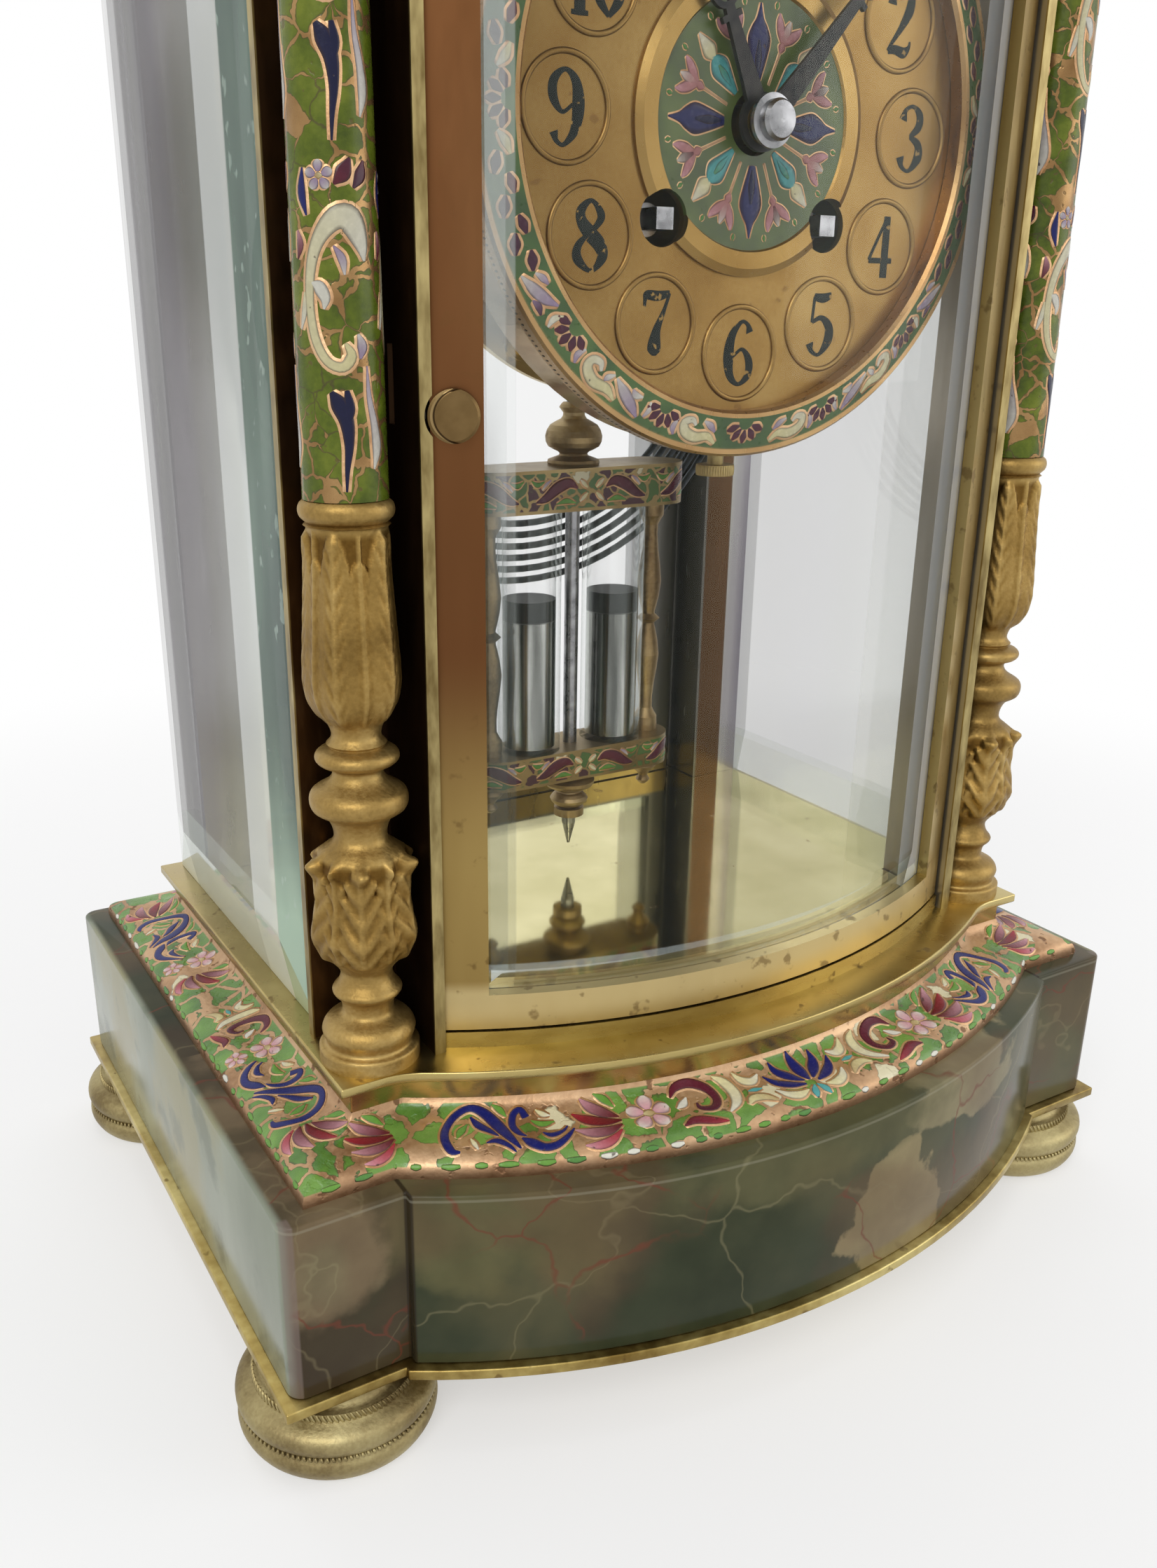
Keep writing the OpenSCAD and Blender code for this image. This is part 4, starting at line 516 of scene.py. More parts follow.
def elbow(u):
    return np.sqrt((MOULD_R - RUN * u) ** 2 - (BOW_BACK + MOULD_HD - FRONT_RUN * u) ** 2)


def grid_of(x, y, z):
    """Points from their three coordinates, spread over each other's rows and columns."""
    return np.stack(np.broadcast_arrays(x, y, z), -1)


def surface(position, core):
    """Makes a place function: points and outward normals at distances along and across a face."""
    core = np.array(core, float)

    def place(s, a):
        point = position(s, a)
        normal = np.cross(position(s + 0.02, a) - point, position(s, a + 0.02) - point)
        normal /= np.linalg.norm(normal, axis=-1, keepdims=True)
        normal *= np.sign(np.sum(normal * (point - core), -1, keepdims=True))
        return point, normal

    return place


def flowing(keys, steps):
    """A smooth run of rows through the given ones."""
    keys = np.array(keys, float)
    ends = np.vstack([2 * keys[0] - keys[1], keys, 2 * keys[-1] - keys[-2]])
    t = np.linspace(0, 1, steps, endpoint=False)[:, None]
    runs = [0.5 * (2 * b + (c - a) * t + (2 * a - 5 * b + 4 * c - d) * t ** 2 + (3 * b - a - 3 * c + d) * t ** 3)
            for a, b, c, d in zip(ends, ends[1:], ends[2:], ends[3:])]
    return np.vstack([*runs, keys[-1:]])


def cell(work, place, line, first, last=None, lift=0.0, edge=0.13, steps=4, finish=1):
    """One enamel cell along a line of (along, across, width): a low dome with a dark rim."""
    rows = flowing(line, steps)
    width = np.maximum(rows[:, 2], 0.05)
    heading = np.gradient(rows[:, :2], axis=0)
    heading /= np.maximum(np.linalg.norm(heading, axis=1, keepdims=True), 1e-9)
    ends = [rows[0, :2] - heading[0] * edge, rows[-1, :2] + heading[-1] * edge]
    centre = np.vstack([ends[0], rows[:, :2], ends[1]])
    heading = np.vstack([heading[0], heading, heading[-1]])
    half = np.concatenate([[0], width / 2, [0]])
    sunk = (half == 0)[:, None]
    edge_line = np.where(half > 0, edge, 0)
    offset = np.stack([-half - edge_line, -half, -0.6 * half, 0 * half, 0.6 * half, half, half + edge_line], 1)
    dome = np.array([-0.06, 0.02, 0.055, 0.068, 0.055, 0.02, -0.06]) + lift * np.array([0, 1, 1, 1, 1, 1, 0])
    height = np.where(sunk, -0.06, dome)
    share = np.linspace(0, 1, len(centre))[:, None, None] ** 1.8
    inner = np.array(COLOURS[first]) * (1 - share) + np.array(COLOURS[last or first]) * share
    dark = np.where(sunk, 1.0, np.array([1, 0.75, 0, 0, 0, 0.75, 1]))[..., None]
    tint = work.tone * (inner * (1 - dark) + np.array(COLOURS["dark"]) * dark)
    s = centre[:, :1] - heading[:, 1:] * offset
    a = centre[:, 1:] + heading[:, :1] * offset
    point, normal = place(s, a)
    middle = len(centre) // 2
    work.sheet(point + normal * height[..., None], finish, (middle, 3, normal[middle, 3]), tint)


SCROLL = [
    ("cobalt", None, [(3.1, 1.5, 0.5), (1.7, 1.8, 1.4), (0.6, 4.2, 1.5), (0.6, 7.0, 1.4), (2.0, 9.8, 1.4),
                      (4.6, 11.3, 1.3), (7.2, 10.3, 1.9), (9.4, 7.6, 2.2), (11.2, 4.4, 1.6), (12.8, 1.8, 0.4)]),
    ("cobalt", None, [(4.8, 9.6, 0.4), (6.2, 7.7, 1.5), (8.0, 6.3, 1.1), (9.4, 4.9, 0.3)]),
    ("cobalt", None, [(7.4, 3.3, 0.3), (9.0, 3.7, 1.2), (10.8, 2.6, 0.9), (12.0, 1.2, 0.3)]),
    ("cobalt", None, [(14.4, 9.0, 1.5), (13.6, 10.6, 1.2), (12.3, 9.8, 1.3), (11.9, 7.4, 1.3), (12.8, 5.4, 1.1),
                      (14.0, 4.4, 0.3)]),
    ("cobalt", None, [(13.2, 4.0, 0.4), (14.6, 2.9, 1.9), (16.6, 1.7, 1.6), (18.8, 2.0, 1.4), (20.8, 3.6, 1.0),
                      (22.2, 5.4, 0.3)]),
    ("cobalt", None, [(16.8, 5.0, 0.3), (18.2, 4.2, 1.2), (20.2, 5.0, 0.7), (21.2, 6.2, 0.3)]),
    ("cream", "white", [(4.8, 4.4, 0.3), (5.4, 3.2, 0.9), (6.0, 2.0, 0.3)]),
    ("cream", "white", [(16.2, 10.4, 0.3), (17.4, 9.4, 1.2), (18.6, 9.0, 0.3)]),
    ("green", None, [(15.2, 8.2, 0.3), (17.0, 7.2, 1.5), (19.2, 7.6, 0.3)]),
    ("green", "leaf", [(2.6, 4.6, 0.3), (3.2, 6.4, 1.5), (4.2, 8.0, 0.3)]),
    ("green", None, [(8.6, 11.8, 0.3), (10.0, 10.8, 1.3), (11.0, 9.4, 0.3)]),
]
CREAM = [
    ("maroon", "purple", [(0.8, 9.2, 0.4), (2.4, 11.0, 1.6), (5.4, 11.3, 1.9), (8.2, 9.6, 2.0), (8.8, 6.8, 1.6),
                          (7.2, 4.8, 1.5), (5.0, 5.4, 1.1), (4.9, 6.9, 0.3)]),
    ("cream", "white", [(10.2, 11.6, 0.3), (12.0, 10.0, 2.1), (12.6, 7.4, 2.3), (11.6, 4.8, 1.8), (9.4, 2.9, 0.4)]),
    ("cream", "white", [(14.4, 11.4, 0.3), (15.6, 9.4, 1.8), (17.4, 8.7, 1.8), (19.2, 9.8, 0.4)]),
    ("cream", "tan", [(13.4, 3.4, 0.3), (15.0, 4.6, 1.9), (17.0, 4.2, 1.8), (18.8, 2.6, 0.4)]),
    ("white", None, [(1.0, 6.4, 0.3), (2.4, 7.2, 1.6), (3.6, 8.6, 0.4)]),
    ("maroon", "red", [(0.4, 2.0, 0.3), (2.8, 2.8, 1.8), (5.8, 1.9, 1.5), (8.2, 1.2, 0.3)]),
    ("turquoise", None, [(15.2, 6.7, 0.3), (16.6, 6.6, 1.1), (18.0, 6.5, 0.3)]),
]
SPRAY = [
    ("burgundy", "pink", [(0.6, 6.9, 0.4), (2.8, 8.2, 2.2), (5.0, 9.8, 2.2), (6.6, 11.6, 0.4)]),
    ("burgundy", "red", [(0.4, 6.0, 0.5), (3.2, 6.1, 2.1), (6.2, 7.1, 2.3), (8.6, 8.8, 0.4)]),
    ("burgundy", "pink", [(0.6, 4.9, 0.4), (3.2, 3.8, 2.1), (6.2, 3.8, 2.3), (8.8, 4.8, 0.4)]),
    ("red", "pink", [(1.0, 3.6, 0.3), (3.2, 1.7, 1.6), (5.6, 1.0, 1.6), (7.8, 1.2, 0.3)]),
    ("green", None, [(0.8, 9.2, 0.3), (2.2, 11.0, 1.6), (4.0, 12.2, 0.3)]),
]
PALMETTE = [
    ("cobalt", None, [(0, 5.0, 0.5), (0, 7.6, 2.5), (0, 10.2, 1.9), (0, 12.4, 0.3)]),
    ("cobalt", None, [(1.0, 5.2, 0.5), (2.8, 7.2, 2.1), (4.4, 9.2, 1.7), (4.8, 11.4, 0.3)]),
    ("cobalt", None, [(1.4, 4.2, 0.5), (4.0, 5.2, 1.9), (6.2, 6.8, 1.6), (7.6, 9.0, 0.3)]),
    ("turquoise", None, [(0.3, 3.4, 0.4), (1.1, 2.0, 1.5), (1.5, 0.7, 0.4)]),
    ("cream", "white", [(2.0, 2.8, 0.3), (4.2, 2.4, 1.8), (6.2, 3.2, 1.6), (7.6, 5.0, 0.4)]),
]


def flower(size, tint="pink"):
    cells = [("tan", "cream", [(-0.9 * size, 0, 0.5), (0, 0, 1.6 * size), (0.9 * size, 0, 0.5)])]
    for a in (0.35 + 2 * math.pi * k / 5 for k in range(5)):
        petal = [(r * size * math.cos(a), r * size * math.sin(a), w * size)
                 for r, w in ((0.9, 0.9), (1.8, 2.2), (2.8, 2.3), (3.5, 0.9))]
        cells.insert(-1, (tint, "white", petal))
    return cells


def lay(work, place, cells, shape, wall, lift=0.05, metal=0):
    """Sets cells on a face, each in a wall of gilt metal; shape places and sizes the points of their lines."""
    for first, last, line in cells:
        spots = [shape(*spot) for spot in line]
        cell(work, place, [(x, y, w + wall) for x, y, w in spots], "copper", None, 0.0, edge=0.1, finish=metal)
        cell(work, place, spots, first, last, lift, edge=0.08)


def lengths_of_moulding(foot_z, way):
    """Place functions of the six lengths, foot at foot_z and face up or down by way."""
    core = (0, 0, foot_z - 400 * way)

    def level(u):
        return foot_z + way * RISE * swell(u)

    def bow(s, a):
        u = across(a)
        r, t = MOULD_R - RUN * u, s / (MOULD_R - RUN / 2)
        return grid_of(r * np.sin(t), BOW_BACK - r * np.cos(t), level(u))

    def side(x):
        return lambda s, a: grid_of(x * (MOULD_HW - RUN * across(a)), s, level(across(a)))

    def straight(y):
        return lambda s, a: grid_of(s, y * (MOULD_HD - FRONT_RUN * across(a)), level(across(a)))

    return {"bow": surface(bow, core), "left": surface(side(-1), core), "right": surface(side(1), core),
            "back": surface(straight(1), core), "front": surface(straight(-1), core)}


def moulding_ground(work, foot_z, way):
    """The gilt casting itself: its section carried round six lengths that meet at their mitres."""
    u = np.concatenate([[0.0], np.linspace(0, 1, 33), [1.0]])
    h = np.concatenate([[0.0], swell(np.linspace(0, 1, 33)), [0.0]]) * RISE
    z = foot_z + way * h
    half, depth, ear = MOULD_HW - RUN * u, MOULD_HD - FRONT_RUN * u, elbow(u)
    angle = np.arcsin(ear / (MOULD_R - RUN * u))
    shown = np.linspace(0, 1, 25)[:, None]

    def between(first, last):
        line = [np.asarray(p)[None] * (1 - shown) + np.asarray(q)[None] * shown for p, q in zip(first, last)]
        return grid_of(*line, z)

    runs = [(between((-half, depth), (half, depth)), (0, 1, 0.5)),
            (between((-half, -depth), (-half, depth)), (-1, 0, 0.5)),
            (between((half, -depth), (half, depth)), (1, 0, 0.5)),
            (between((-half, -depth), (-ear, -depth)), (0, -1, 0.5)),
            (between((ear, -depth), (half, -depth)), (0, -1, 0.5))]
    swing = angle * (2 * np.linspace(0, 1, 91)[:, None] - 1)
    r = MOULD_R - RUN * u
    runs.append((grid_of(r * np.sin(swing), BOW_BACK - r * np.cos(swing), z), (0, -1, 0.5)))
    for grid, out in runs:
        middle = len(grid) // 2
        work.sheet(grid, 0, (middle, 6, (out[0], out[1], out[2] * way)), closed=True)


def foot_cells(work, place, low, high, seed):
    """The row of small green cells along the foot."""
    dice, x = random.Random(seed), low
    while x < high - 2:
        span = dice.uniform(1.4, 3.2)
        name = dice.choice(["green", "green", "leaf", "green", "white"])
        cell(work, place, [(x, 1.1, 0.5), (x + span / 2, 1.0 + dice.uniform(-0.1, 0.2), 1.0), (x + span, 1.1, 0.5)],
             name, steps=3)
        x += span + dice.uniform(1.2, 3.4)


def enamel_moulding(name, node, foot_z, way):
    work = Work()
    moulding_ground(work, foot_z, way)
    place = lengths_of_moulding(foot_z, way)
    for half in (-1, 1):
        middle, inner = PALMETTE[0 if half > 0 else 1:], CREAM if half < 0 else SPRAY
        end = ((SPRAY, 46.6, 0, 1, 0.8), (SCROLL, 45.6, 0, -1, 1), (flower(0.9), 20.4, 8.6, 1, 1),
               (flower(0.6), 20.6, 2.6, 1, 1), (inner, 15.4, 0, -1, 0.72))
        rows = {
            "bow": ((middle, 0, 0, 1, 1), (CREAM, 27.4, 0, -1, 1), (flower(1.15), 31.6, 6.6, 1, 1),
                    (SPRAY, 36.4, 0, 1, 1), (SCROLL, 67.4, 0, -1, 1)),
            "left": end, "right": end,
            "back": ((middle, 0, 0, 1, 1), (CREAM, 28, 0, -1, 1), (flower(1.15), 33, 6.6, 1, 1),
                     (SPRAY, 38, 0, 1, 1), (SCROLL, 69, 0, -1, 1), (SPRAY[:3], 70, 0, 1, 0.7)),
            "front": ((SPRAY, 71.4, 0, 1, 0.92),),
        }
        for run, motifs in rows.items():
            for cells, x, y, way_x, size in motifs:
                lay(work, place[run], cells, lambda p, q, w: (
                    half * x + half * way_x * size * p, FACE + y + q, w * (size + 1) / 2), 0.75, 0.04, 2)
        for run, near, far, seed in (("bow", 3, 76, 5), ("left", 2, 60, 9), ("right", 2, 60, 9),
                                     ("front", 75.5, 86.5, 21)):
            foot_cells(work, place[run], *sorted((half * near, half * far)), seed + half)
    work.object(name, [ground, enamel, wire], "case", "champleve", node, crease=60)


def cloisons(made, scale, wall, metal, *fills):
    """Small cells of coloured glass between standing walls: their colour, and where there is glass."""
    place = made.warped(210, 0.0045)
    gap = made.cells(place, scale)
    pick = made.node("SeparateColor", {}, [made.cells(place, scale, "F1", "Color")])
    within, colour, glass, low = gap > wall, metal, 0.0, 0.0
    for share, fill in fills:
        here = within * (pick > low) * (pick < low + share)
        colour, glass, low = made.mix(here, colour, fill), here + glass, low + share
    return made.mix(0.7 * glass * made.band(gap, wall + 0.045, wall), colour, (0.06, 0.04, 0.02)), glass


ground = finish("champleve_ground")
cloud, fine = ground.noise(60, 4), ground.noise(900, 3)
pits = ground.band(ground.noise(330, 3), 0.6, 0.68)
level = abs(ground.at(2) - CASE_MID)
metal = ground.ramp(cloud + 0.3 * (fine - 0.5), (0.3, (0.3, 0.165, 0.08)), (0.5, (0.5, 0.31, 0.17)),
                    (0.72, (0.64, 0.44, 0.26)))
metal = ground.mix(0.75 * pits, metal, (0.13, 0.06, 0.025))
metal = ground.mix(0.6 * ground.band(level, 0.1155, 0.1172), metal, (0.17, 0.085, 0.04))
leafy = ground.ramp(ground.noise(120, 3), (0.35, (0.075, 0.18, 0.025)), (0.65, (0.17, 0.33, 0.06)))
colour, glass = cloisons(ground, 170, 0.075, metal, (0.78, leafy), (0.06, (0.7, 0.64, 0.42)))
face = ground.band(level, 0.1163, 0.1160) * ground.band(level, 0.1120, 0.1123)
ground.look({"Base Color": ground.mix(face, metal, colour), "Metallic": 0.75 - 0.75 * glass * face,
             "Roughness": 0.3 + 0.25 * fine + 0.2 * pits - 0.15 * glass * face})
ground.bump(fine - 1.6 * pits, 0.00018, 0.5)
wire = gilding("champleve_wire", (0.36, 0.19, 0.09), (0.56, 0.34, 0.18), (0.7, 0.48, 0.28), False)

enamel = finish("champleve_enamel")
tint = enamel.node("Attribute", {"attribute_name": "tint"})
patch, fine = enamel.noise(160, 3), enamel.noise(1100, 3)
colour = enamel.mix(0.35 * patch, tint, (0.9, 0.95, 0.85), "MULTIPLY")
colour = enamel.mix(0.22, colour, enamel.ramp(fine, (0.3, (0.35, 0.35, 0.35)), (0.7, (1, 1, 1))), "MULTIPLY")
pits = enamel.band(enamel.noise(620, 2), 0.7, 0.76)
enamel.look({"Base Color": enamel.mix(0.8 * pits, colour, (0.05, 0.03, 0.02)),
             "Roughness": 0.16 + 0.2 * fine + 0.3 * pits, "Specular IOR Level": 0.28})
enamel.bump(fine - 2 * pits, 0.00008, 0.4)

BASE_FOOT, TOP_FOOT = 50.6, 287.0
enamel_moulding("base_moulding_enamelled", "base_moulding", BASE_FOOT, 1)
enamel_moulding("top_moulding_enamelled", "top_moulding", TOP_FOOT, -1)

# ---------------------------------------------------------------- ledges and floor
# Polished brass plates with an upright band behind the moulding, the edges worn bright; between them the
# case stands. The floor inside is brass polished like a looking-glass.
ledge_brass = brassing("ledge_brass", (0.36, 0.265, 0.095), (0.46, 0.36, 0.14), (0.58, 0.475, 0.21), 0.18,
                       (0.3, 0.3, 1))
eased("lower_ledge", "lower_ledge_eased", ledge_brass, "brass", 0.3)
eased("upper_ledge", "upper_ledge_eased", ledge_brass, "brass", 0.3)
dress(ledge_brass, "door_sills")
mirror_brass = finish("floor_mirror_brass")
cloud, fine = mirror_brass.noise(45, 4), mirror_brass.noise(700, 2)
spots = mirror_brass.band(mirror_brass.noise(210, 3), 0.68, 0.74)
colour = mirror_brass.ramp(cloud, (0.3, (0.66, 0.6, 0.28)), (0.7, (0.86, 0.79, 0.43)))
mirror_brass.look({"Base Color": mirror_brass.mix(0.5 * spots, colour, (0.3, 0.2, 0.07)), "Metallic": 1.0,
                   "Roughness": 0.05 + 0.05 * fine + 0.2 * spots})
mirror_brass.bump(cloud, 0.0001, 0.08)
dress(mirror_brass, "floor_plate")

# ---------------------------------------------------------------- posts
# Brass angles at the front, solid bars behind. The recesses behind the columns are painted dark brown as
# shade, and only the outer edges keep the brass's brighter colour.
post = finish("post_browned_brass")
streak, fine = post.noise(30, 4, (1, 1, 0.12)), post.noise(500, 3, (1, 1, 0.3))
# Painted shade: the dark brown of the recesses behind the columns.
shade_brown = post.ramp(streak + 0.3 * (fine - 0.5), (0.3, (0.018, 0.009, 0.004)), (0.55, (0.05, 0.024, 0.009)),
                  (0.75, (0.11, 0.058, 0.022)))
bright = post.ramp(fine, (0.3, (0.17, 0.12, 0.042)), (0.7, (0.42, 0.335, 0.145)))
edge = post.band(post.at(1), -0.0421, -0.0424) + post.band(abs(post.at(0)), 0.0764, 0.0767)
inner = post.ramp(streak, (0.3, (0.26, 0.23, 0.18)), (0.7, (0.44, 0.4, 0.33)))
shade_brown = post.mix(post.band(abs(post.at(0)), 0.0592, 0.059), shade_brown, inner)
post.look({"Base Color": post.mix(edge, shade_brown, bright), "Metallic": 0.9, "Roughness": 0.26 + 0.22 * fine})
post.bump(fine, 0.00006, 0.4)
dress(post, "front_post_left", "front_post_right")
rear = finish("rear_post_brass")
streak, fine = rear.noise(26, 4, (1, 1, 0.1)), rear.noise(420, 3, (1, 1, 0.2))
pale = rear.ramp(rear.noise(90, 3, (1, 1, 0.04)), (0.34, (0.22, 0.2, 0.235)), (0.5, (0.38, 0.36, 0.37)),
                 (0.66, (0.5, 0.5, 0.45)))
shade_brown = rear.ramp(streak, (0.3, (0.065, 0.037, 0.018)), (0.5, (0.135, 0.076, 0.038)), (0.72, (0.22, 0.135, 0.075)))
grey = rear.ramp(streak, (0.3, (0.11, 0.105, 0.09)), (0.7, (0.26, 0.245, 0.21)))
# Painted light: the left bar and the outer strip of the right one are painted pale as lit, and the rest of the
# right one darker, grey and brown, as shaded.
colour = rear.mix(rear.band(rear.at(0), 0.0668, 0.0672), rear.mix(rear.at(0) < 0.0596, shade_brown, grey), pale)
colour = rear.mix(rear.at(0) < 0.0, colour, pale)
rear.look({"Base Color": colour, "Metallic": 1.0, "Roughness": 0.14 + 0.2 * fine})
rear.bump(fine, 0.00005, 0.3)
dress(rear, "rear_posts")

# ---------------------------------------------------------------- panes
# Plate glass with ground and polished bevels; the light they catch and the reflections in the panes are painted on
# as coloured and pale strips.
# The side panes slide between the posts.


def glazing(name, share, colour, zones):
    """Clear glass: it mirrors by its angle and lets the rest through; its bevels and strips carry painted light and
    reflections as colour.
    """
    made = finish(name)
    cover = share + 0.85 * made.node("LayerWeight", {}, {"Blend": 0.5}, "Facing") ** 5
    tone, mirror = made.mix(made.noise(60, 2), colour, tuple(0.8 * c for c in colour)), 1.0
    for mask, shade, amount, milky in zones(made):
        tone, cover, mirror = made.mix(mask, tone, shade), cover + mask * amount, mirror - milky * mask
    made.look({"Base Color": tone, "Metallic": mirror, "Roughness": 0.02 + 0.02 * made.noise(300, 2),
               "Alpha": cover})
    return made


def side_zones(made):
    """Mask, colour, cover and milkiness of the strips along a side pane, from its rear part to its ends: painted
    reflections, a painted bright strip and painted highlights on the bevels.
    """
    y, z = made.at(1), made.at(2)
    streaks, bubbles = made.noise(30, 4, (1, 1, 0.2)), made.band(made.noise(420, 2, (1, 1, 0.5)), 0.64, 0.7)
    # The front bevel's green is the glass's own, with its bubbles; it is painted lighter towards the bottom, with a
    # painted highlight line along its edge.
    teal = made.ramp(streaks + 0.5 * made.band(z, 0.12, 0.06), (0.34, (0.012, 0.027, 0.02)),
                     (0.56, (0.045, 0.085, 0.064)), (0.9, (0.34, 0.48, 0.36)))
    teal = made.mix(0.4 * bubbles, teal, (0.4, 0.5, 0.43))
    teal = made.mix(made.band(y, -0.0216, -0.0226), teal, (0.4, 0.58, 0.45))
    front = made.band(y, -0.0117, -0.0122)
    # Painted reflections: olive and violet-grey stripes across the middle of the pane and violet-grey bands in its
    # rear part; painted highlights as pale strips on the top and bottom bevels.
    back = made.band(y, 0.0478, 0.0482) * (1 - front)
    ends = made.band(abs(z - CASE_MID), 0.0918, 0.0922) * (1 - front)
    bands = made.noise(150, 2, (0.1, 1, 0.03))
    violet_reflection = made.ramp(bands, (0.35, (0.25, 0.235, 0.27)), (0.5, (0.36, 0.36, 0.34)), (0.65, (0.5, 0.49, 0.5)))
    # Painted light: a near-white strip in the front part of the pane, where it shows the bright room.
    bright = made.band(y, 0.0018, 0.001) * (1 - front)
    reflection_stripes = made.ramp(20 * (y + 0.003) + 0.16 * bands, (0.2, (0.27, 0.29, 0.23)), (0.36, (0.14, 0.145, 0.09)),
                        (0.58, (0.125, 0.11, 0.135)), (0.95, (0.24, 0.23, 0.23)))
    return ((made.band(y, 0.001, 0.0018), reflection_stripes, 0.13, 0.8), (bright, (0.84, 0.88, 0.85), 0.3, 0.9),
            (front, teal, 0.82, 0.85), (back, violet_reflection, 0.3, 0), (ends, (0.7, 0.76, 0.7), 0.14, 0))


side_glass = glazing("side_glass", 0.045, (0.45, 0.49, 0.45), side_zones)
dress(side_glass, "side_pane_left", "side_pane_right")

# ---------------------------------------------------------------- columns
# Each column is two ormolu castings, a baluster below and a capital above, with acanthus leaves chased
# into the metal, and between them a champleve shaft threaded on a rod.
COLUMN_X, COLUMN_Y, COLUMN_Z, COLUMN_TOP = 70.2, -45.2, 63.8, 273.8
SHAFT_Z, SHAFT_H, SHAFT_R = 157.2, 92.6, 6.4
RINGS = ((91.8, 1.5, 1.1, 6.1), (53.6, 1.5, 2.3, 4.4))  # height, half height, swell and core of the collars


def leaves(angle, height, low, high, count, start, depth, veins, cut, near):
    """Relief of a ring of lobed upright leaves, veined near their ribs, and how light its skin is."""
    t = np.clip((height - low) / (high - low), 0, 1)
    within = (height > low) & (height < high)
    lift, shade = np.zeros_like(t), np.full_like(t, 0.3)
    for row, shift in ((0.5, 0.5), (1.0, 0.0)):
        phase = (count * angle / (2 * math.pi) + start + shift) % 1 - 0.5
        top = t / (0.86 if row < 1 else 1.0)
        span = 0.46 * np.clip(1 - (np.clip(top, 0, 1) * 1.05 - 0.35) ** 2 / 0.5, 0, 1) ** 0.5
        lobes = 0.5 + 0.5 * np.cos(2 * math.pi * veins * (t - 0.66 * np.abs(phase)))
        inside = np.clip((span * (1.06 - cut + cut * lobes) - np.abs(phase)) / 0.05, 0, 1)
        rib = np.exp(-(phase / 0.03) ** 2)
        fret = np.exp(-(phase / near) ** 4) * (1 - rib) * (row if near < 0.3 else 1.0)
        dome = row * (0.7 + 0.3 * np.cos(2.4 * phase * math.pi))
        crest = inside * (dome + (0.2 + 0.5 * cut) * (lobes - 0.5) * fret + 0.24 * rib)
        over = crest > lift
        lift = np.where(over, crest, lift)
        light = np.clip(0.55 + (0.5 * lobes - 0.25) * fret + 0.35 * row - 0.2 + rib, 0, 1)
        shade = np.where(over, 0.3 + 0.7 * light * inside, shade)
    fade = np.clip(np.minimum(t, 1 - t) / 0.04, 0, 1)
    return np.where(within, depth * (lift - 0.4) * fade, 0), np.where(within, 1 - (1 - shade) * fade, 1)


def baluster_relief(angle, height, radius):
    up = height - COLUMN_Z
    lower, shade_a = leaves(angle, up, 18.6, 37.2, 5, 0.1, 1.25, 4.5, 0.34, 0.6)
    upper, shade_b = leaves(angle, up, 59.0, 89.0, 5, 0.35, 1.05, 9, 0.06, 0.17)
    crown, shade_c = leaves(angle, up, 188.8, 202.6, 8, 0.2, 0.9, 4, 0.3, 0.6)
    curl = 0.9 * np.exp(-((up - 36.2) / 1.3) ** 2) * np.clip(np.cos(10 * angle + 0.2 * math.pi), 0, 1)
    curl = curl + 0.8 * np.exp(-((up - 201.6) / 1.4) ** 2) * np.clip(np.cos(8 * angle + 0.4 * math.pi), 0, 1)
    lift = lower + upper + crown + curl
    for middle, half, thick, core in RINGS:
        ring = core + thick * np.sqrt(np.clip(1 - ((up - middle) / half) ** 2, 0, 1))
        lift = np.where(np.abs(up - middle) < half + 0.6, ring - radius, lift)
    # Painted shade in the groove at the neck.
    neck = np.clip(1 - np.abs(up - 89.9) / 0.4, 0, 1)
    return lift, shade_a * shade_b * shade_c * (1 - 0.6 * neck)


for end, x in (("left", -COLUMN_X), ("right", COLUMN_X)):
    work, node, axis = Work(), "column_castings_" + end, (x, COLUMN_Y)
    for low, high, rows in ((COLUMN_Z, SHAFT_Z, 300), (SHAFT_Z + SHAFT_H, COLUMN_TOP, 90)):
        turned(work, outline(node, axis, low, high, 9.2), axis, 120, rows, baluster_relief)
    work.object("column_ormolu_" + end, [ormolu], "case", "gilt", node, crease=70)

green = finish("green_champleve")
patch, fine = green.noise(140, 4), green.noise(900, 3)
leafy = green.ramp(patch + 0.3 * (fine - 0.5), (0.3, (0.042, 0.062, 0.006)), (0.5, (0.083, 0.112, 0.009)),
                   (0.72, (0.14, 0.168, 0.018)))
metal = green.ramp(patch, (0.3, (0.19, 0.1, 0.036)), (0.7, (0.37, 0.225, 0.095)))
colour, glass = cloisons(green, 230, 0.06 * green.band(green.noise(110, 2), 0.38, 0.54), metal, (0.93, leafy))
pits = green.band(green.noise(560, 2), 0.66, 0.72)
green.look({"Base Color": green.mix(0.6 * pits, colour, (0.1, 0.06, 0.025)), "Metallic": 0.7 - 0.7 * glass,
            "Roughness": 0.18 + 0.2 * fine, "Specular IOR Level": 0.22})
green.bump(fine - pits, 0.0001, 0.4)
dress(green, "column_shaft_left", "column_shaft_right")
